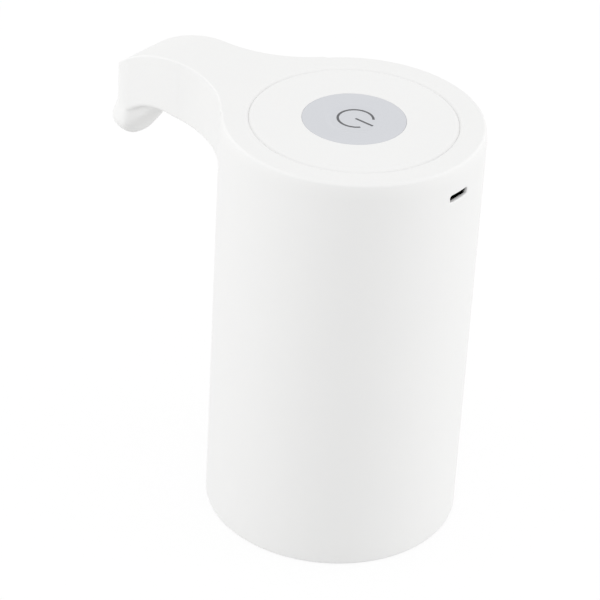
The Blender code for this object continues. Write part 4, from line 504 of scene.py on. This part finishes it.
@dataclass(frozen=True)
class SpoutForm:
    """The arm and the mouth of the spout, in distances from the drum's axis."""

    half_width: float = 0.0088
    neck_half_width: float = 0.0097
    blend_radius: float = 0.0340
    blend_x: float = 0.0560
    nose_x: float = 0.0760
    wall: float = 0.0020
    top_round: float = 0.0005
    low_round: float = 0.0013
    drop_start: float = 0.0540
    drop_radius: float = 0.0420
    arch_start: float = 0.0620
    arch_radius: float = 0.0200
    depth_at_arch: float = 0.0184224
    depth_at_root: float = 0.0197224
    lip_depth: float = 0.0265
    lip_round: float = 0.0025
    mouth_top: float = 0.0150
    mouth_height: float = 0.0183
    mouth_length: float = 0.0223
    lip_flare: float = 0.0020
    hole_x: float = 0.0797
    hole_radius: float = 0.0022
    seat_rise: float = 0.0034
    bore_radius: float = 0.0031
    bore_depth: float = 0.0180224
    bore_steps: int = 64
    side_steps: int = 40
    nose_steps: int = 28
    mouth_levels: int = 44
    levels: tuple[tuple[float, float, float, float], ...] = (
        (0.00, -0.05, 1.000, 0.985),
        (0.16, -0.05, 0.960, 0.985),
        (0.33, 0.00, 0.810, 0.990),
        (0.48, 0.10, 0.690, 1.010),
        (0.63, 0.60, 0.580, 1.035),
        (0.76, 1.00, 0.490, 1.020),
        (0.87, 0.70, 0.425, 0.900),
        (0.95, -0.10, 0.380, 0.700),
        (1.00, -1.10, 0.360, 0.500),
    )
    tuck: float = 0.24
    tuck_height: float = 0.0095
    tuck_end: float = 0.0777
    tuck_length: float = 0.0048
    tuck_scale: float = 3.5
    root_depth: float = 0.0025
    root_turn: float = 8.0
    root_start: float = 0.7
    hollow_reach: float = 0.0043
    edge_segments: int = 6

    def top(self, distance: float) -> float:
        """The height of the arm's top at a distance."""
        past = max(distance - self.drop_start, 0)
        return SIZES.height - (self.drop_radius - sqrt(self.drop_radius**2 - past**2))

    def underside(self, distance: float) -> float:
        """Follows the arm's slightly sloped underside, then the arch that turns down to the mouth.

        Args:
            distance: The distance from the drum's axis.

        Returns:
            The height there.
        """
        if distance <= self.arch_start:
            share = (self.arch_start - distance) / (self.arch_start - SIZES.radius)
            return SIZES.height - self.depth_at_arch - (self.depth_at_root - self.depth_at_arch) * share
        across = distance - self.arch_start
        turn_depth = self.lip_depth - self.lip_round
        both = self.arch_radius + self.lip_round
        centre = sqrt(both**2 - (self.depth_at_arch + self.arch_radius - turn_depth) ** 2)
        if across <= centre * self.arch_radius / both:
            fall = self.arch_radius - sqrt(self.arch_radius**2 - across**2)
            return SIZES.height - self.depth_at_arch - fall
        return SIZES.height - turn_depth - sqrt(self.lip_round**2 - min(across - centre, 0) ** 2)

    def _plan(self, form: bmesh.types.BMesh, inset: float, start: float, root: tuple[float, float] | None) -> None:
        """Draws the arm's outline in plan and fills it.

        Args:
            form: The form that gets the outline.
            inset: How far the outline is drawn in.
            start: The first angle on the root's blend, in radians.
            root: A point of the outline inside the drum, or None.
        """
        blend_y = sqrt((SIZES.radius + self.blend_radius) ** 2 - self.blend_x**2)
        reach = self.blend_radius + inset
        first = form.verts.new((self.blend_x + reach * cos(start), blend_y + reach * sin(start), 0))
        if root is not None:
            form.edges.new((form.verts.new((*root, 0)), first))
        spun = bmesh.ops.spin(
            form, geom=[first], cent=(self.blend_x, blend_y, 0), axis=(0, 0, 1),
            angle=-pi / 2 - start, steps=self.side_steps,
        )
        corner = next(item for item in spun["geom_last"] if isinstance(item, bmesh.types.BMVert))
        drawn = bmesh.ops.extrude_vert_indiv(form, verts=[corner])
        drawn["verts"][0].co = (self.nose_x, self.half_width - inset, 0)
        cut = bmesh.ops.subdivide_edges(form, edges=drawn["edges"], cuts=self.side_steps - 1)
        for vert in (item for item in cut["geom_inner"] if isinstance(item, bmesh.types.BMVert)):
            share = (vert.co.x - self.blend_x) / (self.nose_x - self.blend_x)
            taper = (self.neck_half_width - self.half_width) * (1 + cos(pi * share)) / 2
            vert.co.y = self.half_width + taper - inset
        tip = max(form.verts, key=lambda vert: vert.co.x)
        bmesh.ops.spin(
            form, geom=[tip], cent=(self.nose_x, 0, 0), axis=(0, 0, 1), angle=-pi / 2, steps=self.nose_steps
        )
        bmesh.ops.mirror(form, geom=list(form.verts) + list(form.edges), merge_dist=WELD_DISTANCE, axis="Y")
        bmesh.ops.remove_doubles(form, verts=form.verts, dist=WELD_DISTANCE)
        ends = sorted((vert for vert in form.verts if len(vert.link_edges) == 1), key=lambda vert: vert.co.x)
        form.edges.new(ends[:2])
        bmesh.ops.contextual_create(form, geom=list(form.edges))

    def _raised(self, form: bmesh.types.BMesh, low: float, high: float) -> None:
        """Gives the filled outline its height and lays its top and underside on their curves.

        Args:
            form: The form that holds the outline.
            low: How far the underside lies above its curve.
            high: How far the top lies above its curve.
        """
        places = sorted({round(vert.co.x, 6) for vert in form.verts})
        grown = bmesh.ops.extrude_face_region(form, geom=list(form.faces))["geom"]
        raised = [item for item in grown if isinstance(item, bmesh.types.BMVert)]
        bmesh.ops.translate(form, verts=raised, vec=(0, 0, SIZES.height))
        for place in places[1:-1]:
            bmesh.ops.bisect_plane(
                form, geom=list(form.verts) + list(form.edges) + list(form.faces), dist=FINE_WELD_DISTANCE,
                plane_co=(place, 0, 0), plane_no=(1, 0, 0),
            )
        for vert in form.verts:
            if vert.co.z > SIZES.height / 2:
                vert.co.z = self.top(vert.co.x) + high
            else:
                vert.co.z = self.underside(vert.co.x) + low

    def _flip(self, form: bmesh.types.BMesh) -> None:
        """Turns the arm so that it points to -X."""
        bmesh.ops.rotate(form, verts=form.verts, cent=(0, 0, 0), matrix=Matrix.Rotation(pi, 3, "Z"))

    def arm(self) -> bpy.types.Object:
        """Makes the arm's outer form, with its root sunk in the drum.

        Returns:
            The arm, with round edges along its top and underside.
        """
        form = bmesh.new()
        tangent = atan2(sqrt((SIZES.radius + self.blend_radius) ** 2 - self.blend_x**2), self.blend_x)
        sunk = SIZES.radius - self.root_depth
        turn = tangent + radians(self.root_turn)
        self._plan(form, 0.0, tangent - pi + radians(self.root_start), (sunk * cos(turn), sunk * sin(turn)))
        self._raised(form, 0.0, 0.0)
        rims: dict[bool, list[bmesh.types.BMEdge]] = {True: [], False: []}
        for edge in form.edges:
            flat = [abs(face.normal.z) > 0.5 for face in edge.link_faces]
            inside = max(vert.co.xy.length for vert in edge.verts) <= sunk + WELD_DISTANCE
            if len(set(flat)) == 2 and not inside:
                upper = edge.verts[0].co.z > self.underside(edge.verts[0].co.x) + self.wall
                rims[upper].append(edge)
        for upper, offset in ((True, self.top_round), (False, self.low_round)):
            round_edges(form, rims[upper], offset, self.edge_segments)
        self._flip(form)
        return loose_object(form, "arm_form")

    def cavity(self) -> bpy.types.Object:
        """Makes the hollow inside the arm, a wall in from its outside.

        Returns:
            The hollow.
        """
        form = bmesh.new()
        start_x = SIZES.inner_radius - self.hollow_reach
        radius = self.blend_radius + self.wall
        across = self.blend_x - start_x
        self._plan(form, self.wall, -pi + atan2(sqrt(radius**2 - across**2), across), None)
        self._raised(form, self.wall, -self.wall)
        self._flip(form)
        return loose_object(form, "arm_hollow")

    def _level(self, share: float) -> tuple[float, ...]:
        """Reads the mouth's levels at a share of its depth, on a smooth curve through them.

        Args:
            share: The share of the depth, from 0 to 1.

        Returns:
            The shares of the flare, the back and the width.
        """
        rows = self.levels
        index = max(number for number in range(len(rows) - 1) if rows[number][0] <= share)
        low, high = rows[index], rows[index + 1]
        before, after = rows[max(index - 1, 0)], rows[min(index + 2, len(rows) - 1)]
        span = high[0] - low[0]
        along = (share - low[0]) / span
        found = []
        for column in (1, 2, 3):
            first_slope = (high[column] - before[column]) / (high[0] - before[0]) * span
            last_slope = (after[column] - low[column]) / (after[0] - low[0]) * span
            found.append(
                (2 * along**3 - 3 * along**2 + 1) * low[column]
                + (along**3 - 2 * along**2 + along) * first_slope
                + (-2 * along**3 + 3 * along**2) * high[column]
                + (along**3 - along**2) * last_slope
            )
        return tuple(found)

    def _tucked(self, distance: float, height: float) -> float:
        """Draws the mouth's sides in below the arm's lower edge, steeply first and then ever less.

        The scale brings the largest value of the curve to one.

        Args:
            distance: The distance from the drum's axis.
            height: The height of the place.

        Returns:
            The share by which the mouth is narrower there.
        """
        below = (self.underside(distance) + self.low_round - height) / self.tuck_height
        share = min(max(below, 0), 1)
        eased = min(max((self.tuck_end - distance) / self.tuck_length, 0), 1)
        return self.tuck * self.tuck_scale * sqrt(share) * (1 - share) ** 2 * eased**2 * (3 - 2 * eased)

    def mouth(self) -> bpy.types.Object:
        """Makes the rounded, turned-down end from level circles that are bridged.

        Returns:
            The mouth.
        """
        form = bmesh.new()
        rims: list[list[bmesh.types.BMEdge]] = []
        for number in range(self.mouth_levels):
            share = number / (self.mouth_levels - 1)
            flare, back_share, width_share = self._level(share)
            height = SIZES.height - self.mouth_top - self.mouth_height * share
            half_width = self.half_width * width_share
            front = self.nose_x + self.half_width + self.lip_flare * flare
            back = self.nose_x + self.half_width - self.mouth_length * back_share
            middle = front - half_width
            circle = bmesh.ops.create_circle(form, cap_ends=False, radius=1, segments=4 * self.nose_steps)["verts"]
            for vert in circle:
                reach = half_width if vert.co.x >= 0 else middle - back
                distance = middle + reach * vert.co.x
                width = half_width * (1 - self._tucked(distance, height))
                vert.co = (-distance, width * vert.co.y, height)
            rims.append(list({edge for vert in circle for edge in vert.link_edges}))
        for upper, lower in zip(rims, rims[1:]):
            bmesh.ops.bridge_loops(form, edges=upper + lower)
        bmesh.ops.contextual_create(form, geom=rims[0])
        bmesh.ops.contextual_create(form, geom=rims[-1])
        return loose_object(form, "mouth_form")

    def bore(self) -> bpy.types.Object:
        """Makes the hole in the mouth's underside and the seat of the nozzle above it.

        Returns:
            The cutting form.
        """
        bottom = SIZES.height - self.mouth_top - self.mouth_height
        top = SIZES.height - self.bore_depth
        profile = [
            (0, bottom - SIZES.overrun),
            (self.hole_radius, bottom - SIZES.overrun),
            (self.hole_radius, bottom + self.seat_rise),
            (self.bore_radius, bottom + self.seat_rise),
            (self.bore_radius, top),
            (0, top),
        ]
        form = turned_form(profile, self.bore_steps)
        bmesh.ops.translate(form, verts=form.verts, vec=(-self.hole_x, 0, 0))
        return loose_object(form, "mouth_hole_form")


@dataclass(frozen=True)
class HousingShell:
    """The white drum and its spout in one moulding, open below."""

    top_round: float = 0.0009
    taper_radius: float = 0.0200
    taper_angle: float = 11.0
    base_round: float = 0.0006
    groove_round: float = 0.0018
    steps: int = 288
    slot_width: float = 0.0076
    slot_height: float = 0.0021
    slot_corner: float = 0.0007
    slot_depth: float = 0.00935
    slot_aside: float = 0.0004
    slot_round: float = 0.0004
    pocket_face: float = 0.0359
    pocket_width: float = 0.0110
    pocket_top: float = 0.0062
    pocket_bottom: float = 0.0170
    deck_top: float = 0.0450
    boss_radius: float = 0.0035
    boss_height: float = 0.0150
    boss_circle: float = 0.0316
    boss_angles: tuple[int, ...] = (60, 180, -60)
    pilot_radius: float = 0.0013
    pilot_depth: float = 0.0120
    boss_steps: int = 48
    spout: SpoutForm = field(default_factory=SpoutForm)

    def _drum(self) -> bpy.types.Object:
        """Makes the solid drum, with both of its edges rounded."""
        sizes = SIZES
        profile = [(0, 0)]
        profile += arc((sizes.radius - self.base_round, self.base_round), self.base_round, -90, 0, 6)
        turn = radians(self.taper_angle)
        tip = sizes.radius - self.taper_radius * (1 - cos(turn)) - self.top_round * cos(turn)
        start = sizes.height - self.top_round - (self.taper_radius - self.top_round) * sin(turn)
        profile += arc((sizes.radius - self.taper_radius, start), self.taper_radius, 0, self.taper_angle, 6)[:-1]
        profile += arc((tip, sizes.height - self.top_round), self.top_round, self.taper_angle, 90, 8)
        profile += [(0, sizes.height)]
        return loose_object(turned_form(profile, self.steps), "outer_shell")

    def _hollow(self) -> bpy.types.Object:
        """Makes the drum's inside with the plate's ledge and recess, whose round rim is the groove's outer side."""
        sizes = SIZES
        underside = sizes.height - sizes.roof
        round_centre = (
            sizes.recess_radius + self.groove_round * cos(pi / 4), sizes.height - self.groove_round
        )
        profile = [
            (0, -sizes.overrun),
            (sizes.inner_radius, -sizes.overrun),
            (sizes.inner_radius, underside),
            (sizes.ledge_radius, underside),
            (sizes.ledge_radius, sizes.ledge_top),
            (sizes.recess_radius, sizes.ledge_top),
            *arc(round_centre, self.groove_round, 135, 90, 6),
            (round_centre[0], sizes.height + sizes.overrun),
            (0, sizes.height + sizes.overrun),
        ]
        return loose_object(turned_form(profile, self.steps), "drum_hollow_form")

    def _slot(self) -> bpy.types.Object:
        """Makes the charging slot's cutting form, a bar with round corners."""
        reach = SIZES.radius - SIZES.inner_radius + 4 * SIZES.overrun
        form = block_form((reach, self.slot_width, self.slot_height))
        long_edges = [edge for edge in form.edges if abs(edge.verts[0].co.x - edge.verts[1].co.x) > reach / 2]
        round_edges(form, long_edges, self.slot_corner, 8)
        centre = ((SIZES.inner_radius + SIZES.radius) / 2, self.slot_aside, SIZES.height - self.slot_depth)
        bmesh.ops.translate(form, verts=form.verts, vec=centre)
        return loose_object(form, "slot_form")

    def _pocket(self) -> bpy.types.Object:
        """Makes the hollow behind the slot, where the wall is thin so that a plug reaches its socket."""
        depth = self.pocket_face - SIZES.inner_radius + SIZES.overrun
        form = block_form((depth, self.pocket_width, self.pocket_bottom - self.pocket_top))
        middle = SIZES.height - (self.pocket_top + self.pocket_bottom) / 2
        bmesh.ops.translate(form, verts=form.verts, vec=(self.pocket_face - depth / 2, 0, middle))
        return loose_object(form, "slot_pocket_form")

    def _soften_slot(self, shell: bpy.types.Object) -> None:
        """Rounds the slot's outer rim.

        Args:
            shell: The joined housing, still round the origin.
        """
        form = bmesh.new()
        form.from_mesh(shell.data)
        bmesh.ops.remove_doubles(form, verts=form.verts, dist=FINE_WELD_DISTANCE)
        middle = SIZES.height - self.slot_depth
        rim = []
        for edge in form.edges:
            near = all(
                vert.co.x > self.pocket_face
                and abs(vert.co.y - self.slot_aside) < self.slot_width / 2 + WELD_DISTANCE
                and abs(vert.co.z - middle) < self.slot_height / 2 + WELD_DISTANCE
                and abs(vert.co.xy.length - SIZES.radius) < 2 * WELD_DISTANCE
                for vert in edge.verts
            )
            if near and edge.is_manifold and edge.calc_face_angle() > radians(30):
                rim.append(edge)
        round_edges(form, rim, self.slot_round, 4)
        form.to_mesh(shell.data)
        form.free()
        LOG.info("slot rim: %d edges rounded", len(rim))

    def _bosses(self) -> list[tuple[str, bpy.types.Object]]:
        """Makes the screw bosses inside the wall and the pilot holes in them.

        Returns:
            The steps that add and bore them.
        """
        low = self.deck_top + SIZES.gap
        steps: list[tuple[str, bpy.types.Object]] = []
        for kind, radius, bottom, top in (
            ("UNION", self.boss_radius, low, low + self.boss_height),
            ("DIFFERENCE", self.pilot_radius, low - SIZES.overrun, low + self.pilot_depth),
        ):
            for number, turn in enumerate(self.boss_angles, 1):
                form = turned_form([(0, bottom), (radius, bottom), (radius, top), (0, top)], self.boss_steps)
                place = (self.boss_circle * cos(radians(turn)), self.boss_circle * sin(radians(turn)), 0)
                bmesh.ops.translate(form, verts=form.verts, vec=place)
                steps.append((kind, loose_object(form, f"boss_{kind.lower()}_{number}")))
        return steps

    def build(self, material: bpy.types.Material) -> bpy.types.Object:
        """Makes the housing in place of its solid.

        Args:
            material: The white plastic.

        Returns:
            The housing.
        """
        steps = [
            ("UNION", self.spout.arm()),
            ("UNION", self.spout.mouth()),
            ("DIFFERENCE", self.spout.bore()),
            ("DIFFERENCE", self.spout.cavity()),
            ("DIFFERENCE", self._hollow()),
            ("DIFFERENCE", self._pocket()),
            ("DIFFERENCE", self._slot()),
            *self._bosses(),
        ]
        shell = joined(self._drum(), steps)
        self._soften_slot(shell)
        return dressed(shell, Body.PUMP, material, ("outer_housing",))


@dataclass(frozen=True)
class PlateRing:
    """The round plate inside the groove, with a guide for the button and a snap ring below."""

    radius: float = 0.02916
    edge_round: float = 0.0018
    hole_radius: float = 0.01453
    hole_round: float = 0.00010
    guide_wall: float = 0.0012
    guide_depth: float = 0.0034
    flange_reach: float = 0.0012
    snap_wall: float = 0.0012
    snap_play: float = 0.0004
    snap_depth: float = 0.0068
    nose_reach: float = 0.0012
    nose_height: float = 0.0012
    nose_width: float = 0.0060
    steps: int = 288

    def _nose(self, middle: float, top: float, turn: float) -> bpy.types.Object:
        """Makes one snap nose.

        Args:
            middle: Its distance from the axis.
            top: The height of its top.
            turn: Its angle round the plate.

        Returns:
            The nose.
        """
        form = block_form((self.snap_wall + self.nose_reach, self.nose_width, self.nose_height))
        bmesh.ops.translate(form, verts=form.verts, vec=(middle, 0, top - self.nose_height / 2))
        bmesh.ops.rotate(form, verts=form.verts, cent=(0, 0, 0), matrix=Matrix.Rotation(turn, 3, "Z"))
        return loose_object(form, "nose_form")

    def build(self, material: bpy.types.Material) -> bpy.types.Object:
        """Makes the plate in place of its solid.

        Args:
            material: The white plastic.

        Returns:
            The plate.
        """
        top = SIZES.height
        underside = top - SIZES.plate_thickness
        hole = self.hole_radius
        guide_inner = SIZES.button_radius + SIZES.gap + self.flange_reach
        guide_bottom = underside - self.guide_depth
        snap_outer = SIZES.ledge_radius - self.snap_play
        snap_inner = snap_outer - self.snap_wall
        snap_bottom = underside - self.snap_depth
        profile = [
            (hole, underside),
            (guide_inner, underside),
            (guide_inner, guide_bottom),
            (guide_inner + self.guide_wall, guide_bottom),
            (guide_inner + self.guide_wall, underside),
            (snap_inner, underside),
            (snap_inner, snap_bottom),
            (snap_outer, snap_bottom),
            (snap_outer, underside),
            (self.radius, underside),
            *arc(
                (self.radius - self.edge_round * cos(pi / 4), top - self.edge_round), self.edge_round, 45, 90, 6
            ),
            *arc((hole + self.hole_round, top - self.hole_round), self.hole_round, 90, 180, 4),
        ]
        plate = loose_object(turned_form(profile, self.steps), "cover_plate")
        middle = snap_outer - self.snap_wall / 2 + self.nose_reach / 2
        nose_top = top - SIZES.roof - SIZES.gap
        noses = [("UNION", self._nose(middle, nose_top, 2 * pi * number / 3)) for number in range(3)]
        return dressed(joined(plate, noses), Body.PUMP, material, ("top_plate",))


@dataclass(frozen=True)
class PressButton:
    """The grey disc that is pressed, and the power sign printed in its dish."""

    shown_radius: float = 0.01449
    rim_fall: float = 0.00006
    dimple_start: float = 0.0083
    dimple_end: float = 0.0062
    dimple_depth: float = 0.00040
    edge_round: float = 0.00012
    flange_reach: float = 0.0012
    flange_height: float = 0.0008
    stem_radius: float = 0.0022
    stem_height: float = 0.0019
    sign_place: tuple[float, float] = (-0.0003, 0.0010)
    sign_radius: float = 0.00494
    sign_line: float = 0.00068
    sign_bar: float = 0.0061
    sign_gap: float = 36.0
    print_height: float = 0.00002
    steps: int = 288
    dish_steps: int = 56
    sign_steps: int = 120

    def _dish(self, radius: float) -> float:
        """The height of the dished face at a radius."""
        rim = self.shown_radius - self.edge_round
        share = min(max((self.dimple_start - radius) / (self.dimple_start - self.dimple_end), 0), 1)
        dimple = self.dimple_depth * share * share * (3 - 2 * share)
        return SIZES.height - self.rim_fall * (1 - (min(radius, rim) / rim) ** 2) - dimple

    def disc(self, material: bpy.types.Material) -> bpy.types.Object:
        """Makes the button in place of its solid.

        Args:
            material: The grey plastic.

        Returns:
            The button.
        """
        top = SIZES.height
        flange_top = top - SIZES.plate_thickness - SIZES.gap
        flange_low = flange_top - self.flange_height
        rim = self.shown_radius - self.edge_round
        flange_radius = SIZES.button_radius + self.flange_reach
        inward = [rim * (1 - step / self.dish_steps) for step in range(1, self.dish_steps + 1)]
        profile = [
            (0, flange_low - self.stem_height),
            (self.stem_radius, flange_low - self.stem_height),
            (self.stem_radius, flange_low),
            (flange_radius, flange_low),
            (flange_radius, flange_top),
            (self.shown_radius, flange_top),
            *arc((rim, top - self.edge_round), self.edge_round, 0, 90, 5),
            *((radius, self._dish(radius)) for radius in inward),
        ]
        disc = loose_object(turned_form(profile, self.steps), "press_button")
        return dressed(disc, Body.BUTTON, material, ("power_button",))

    def sign(self, material: bpy.types.Material) -> bpy.types.Object:
        """Prints the power sign, an open circle and a bar that points to the slot.

        Args:
            material: The sign's ink.

        Returns:
            The sign, a thin print that follows the dish.
        """
        form = bmesh.new()
        half = self.sign_line / 2
        inner, outer = self.sign_radius - half, self.sign_radius + half
        ends = [form.verts.new((radius, 0, 0)) for radius in (inner, outer)]
        bmesh.ops.rotate(form, verts=ends, cent=(0, 0, 0), matrix=Matrix.Rotation(radians(self.sign_gap), 3, "Z"))
        edge = form.edges.new(ends)
        bmesh.ops.spin(
            form, geom=[*ends, edge], cent=(0, 0, 0), axis=(0, 0, 1), angle=radians(360 - 2 * self.sign_gap),
            steps=self.sign_steps,
        )
        bar = bmesh.ops.create_grid(form, x_segments=16, y_segments=2, size=0.5)["verts"]
        bmesh.ops.scale(form, verts=bar, vec=(self.sign_bar, self.sign_line, 1))
        bmesh.ops.translate(form, verts=bar, vec=(self.sign_bar / 2, 0, 0))
        bmesh.ops.translate(form, verts=form.verts, vec=(*self.sign_place, 0))
        for vert in form.verts:
            vert.co.z = self._dish(vert.co.xy.length) + self.print_height
        grown = bmesh.ops.extrude_face_region(form, geom=list(form.faces))["geom"]
        sunk = [item for item in grown if isinstance(item, bmesh.types.BMVert)]
        bmesh.ops.translate(form, verts=sunk, vec=(0, 0, -2 * self.print_height))
        return dressed(loose_object(form, "power_sign"), Body.BUTTON, material)


@dataclass(frozen=True)
class PhotoCamera:
    """The camera that sees the pump as the photograph does. Its frame is 600 pixels square."""

    elevation: float = 32.654
    azimuth: float = 37.0
    roll: float = 3.772
    distance: float = 22.64 * 0.037
    focal_pixels: float = 128.894 * 22.64
    aim_depth: float = 3.405 * 0.037 / 2
    aim_pixel: tuple[float, float] = (341.579, 289.227)
    frame_pixels: float = 600.0
    sensor: float = 36.0

    def build(self) -> bpy.types.Object:
        """Sets the camera up and makes it the scene's own.

        Returns:
            The camera.
        """
        tilt = radians(self.elevation)
        back = Vector((0, -cos(tilt), sin(tilt)))
        right = Vector((1, 0, 0))
        looking = Matrix((right, back.cross(right), back))
        centre = self.frame_pixels / 2
        across = atan((self.aim_pixel[0] - centre) / self.focal_pixels)
        down = atan((self.aim_pixel[1] - centre) / self.focal_pixels)
        turned = (
            Matrix.Rotation(down, 3, "X") @ Matrix.Rotation(-across, 3, "Y")
            @ Matrix.Rotation(-radians(self.roll), 3, "Z") @ looking
        )
        around = Matrix.Rotation(radians(self.azimuth), 3, "Z")
        place = around @ (Vector((0, 0, -self.aim_depth)) + back * self.distance)
        data = bpy.data.cameras.new("photo_camera")
        data.sensor_width = self.sensor
        data.lens = self.focal_pixels / self.frame_pixels * self.sensor
        data.clip_start = 0.01
        camera = linked("photo_camera", data)
        camera.matrix_world = Matrix.Translation(place + Vector((SIZES.axis, 0, SIZES.height))) @ (
            around @ turned.transposed()
        ).to_4x4()
        bpy.context.scene.camera = camera
        return camera


@dataclass(frozen=True)
class SoftLamp:
    """A soft square lamp that looks at the middle of the drum."""

    name: str
    azimuth: float
    elevation: float
    distance: float
    size: tuple[float, float]
    power: float

    def build(self, aim: Vector) -> None:
        """Hangs the lamp.

        Args:
            aim: The point that it looks at.
        """
        turn, tilt = radians(self.azimuth), radians(self.elevation)
        way = Vector((cos(tilt) * sin(turn), -cos(tilt) * cos(turn), sin(tilt)))
        data = bpy.data.lights.new(self.name, "AREA")
        data.shape = "RECTANGLE"
        data.size, data.size_y = self.size
        data.energy = self.power
        lamp = linked(self.name, data)
        lamp.visible_glossy = False
        facing = way.to_track_quat("Z", "Y").to_matrix().to_4x4()
        lamp.matrix_world = Matrix.Translation(aim + way * self.distance) @ facing


@dataclass(frozen=True)
class Studio:
    """A plain pale floor that is clear from below, even light from all sides and three soft lamps."""

    ambient: float = 0.97
    floor_tone: Colour = (0.68, 0.68, 0.68)
    floor_glow: float = 0.85
    floor_size: float = 6.0
    floor_drop: float = 0.0001
    lamps: tuple[SoftLamp, ...] = (
        SoftLamp("left_lamp", -40.0, 6.0, 0.9, (0.45, 0.26), 1.4),
        SoftLamp("right_lamp", 125.0, 6.0, 0.9, (0.45, 0.26), 1.62),
        SoftLamp("top_lamp", 0.0, 85.0, 0.9, (0.9, 0.9), 0.25),
    )

    @staticmethod
    def _seen(web: ShaderWeb) -> bpy.types.NodeSocket:
        """Tells the rays of the camera, of gloss and of clear pieces from the rays that light.

        Args:
            web: The shader web that gets the nodes.

        Returns:
            One where the ray is one of those, and zero where it isn't.
        """
        path = web.node("ShaderNodeLightPath")
        either = web.maths("MAXIMUM", path.outputs["Is Camera Ray"], path.outputs["Is Glossy Ray"])
        return web.maths("MAXIMUM", either, path.outputs["Is Transmission Ray"])

    def _world(self) -> None:
        """Lights the scene evenly, and shows white where the camera sees past the floor."""
        world = bpy.data.worlds.new("studio_world")
        world.use_nodes = True
        world.node_tree.nodes.clear()
        web = ShaderWeb(world.node_tree)
        lit = web.node("ShaderNodeBackground", {"Color": WHITE, "Strength": self.ambient})
        white = web.node("ShaderNodeBackground", {"Color": WHITE})
        web.node("ShaderNodeOutputWorld", {"Surface": web.mix(self._seen(web), lit, white).outputs[0]})
        bpy.context.scene.world = world

    def _floor(self) -> None:
        """Lays the pale floor, which keeps the pump's soft shadow and is clear from below."""
        material = bpy.data.materials.new("studio_floor")
        material.use_nodes = True
        material.node_tree.nodes.clear()
        web = ShaderWeb(material.node_tree)
        matt = web.node("ShaderNodeBsdfDiffuse", {"Color": (*self.floor_tone, 1)})
        shaded = web.node("ShaderNodeBsdfDiffuse", {"Color": WHITE})
        glow = web.node("ShaderNodeEmission", {"Color": WHITE})
        below = web.node("ShaderNodeNewGeometry").outputs["Backfacing"]
        pale = web.mix(self.floor_glow, shaded, glow)
        shown = web.mix(below, pale, web.node("ShaderNodeBsdfTransparent"))
        web.node("ShaderNodeOutputMaterial", {"Surface": web.mix(self._seen(web), matt, shown).outputs[0]})
        form = bmesh.new()
        bmesh.ops.create_grid(form, x_segments=1, y_segments=1, size=self.floor_size / 2)
        mesh = bpy.data.meshes.new("studio_floor")
        form.to_mesh(mesh)
        form.free()
        mesh.materials.append(material)
        mesh.transform(Matrix.Translation((0, 0, -self.floor_drop)))
        floor = linked("studio_floor", mesh)

    def build(self) -> None:
        """Sets up the world, the floor and the lamps."""
        self._world()
        self._floor()
        aim = Vector((SIZES.axis, 0, SIZES.height / 2))
        for lamp in self.lamps:
            lamp.build(aim)
        bpy.context.scene.view_settings.view_transform = "Standard"


def dress_solids(materials: dict[Slot, bpy.types.Material], own: dict[str, bpy.types.Material]) -> None:
    """Gives every solid that keeps its form its finish.

    Args:
        materials: The finished materials by slot.
        own: The materials of the solids that don't take their slot's; the charging socket's is painted near black,
            painted shade for the dark inside the slot.
    """
    for name, solid in sorted(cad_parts.items()):
        for place in solid.material_slots:
            label = place.material.name.split(".")[0]
            place.material = own.get(name) or materials[Slot(label)]
        LOG.info("%s: %s", name, solid.material_slots[0].material.name)


def main() -> None:
    """Builds the pump's looks and the studio round them."""
    logging.basicConfig(level=logging.INFO, format="%(message)s")
    camera = PhotoCamera().build()
    LOG.info("%s: lens %.1f mm", camera.name, camera.data.lens)
    Studio().build()
    effects = SurfaceEffects()
    materials = {slot: finish.make(effects) for slot, finish in FINISHES.items()}
    # Painted shade: the charging socket is coloured near black to stand in for the shade deep inside the slot.
    socket = Finish("socket_painted_shade_black", (0.030, 0.029, 0.028), (0.042, 0.041, 0.040), 0.42, 0.08, specular=0.3)
    dress_solids(materials, {"usb_socket": socket.make(effects)})
    HousingShell().build(materials[Slot.WHITE_PLASTIC])
    PlateRing().build(materials[Slot.WHITE_PLASTIC])
    button = PressButton()
    grey = Finish("satin_grey_disc", (0.635, 0.648, 0.680), (0.660, 0.673, 0.705), 0.44, 0.06, specular=0.35)
    ink = Finish("grey_print", (0.110, 0.112, 0.120), (0.130, 0.132, 0.140), 0.45, 0.05, specular=0.3)
    button.disc(grey.make(effects))
    button.sign(ink.make(effects))


if __name__ == "__main__":
    main()
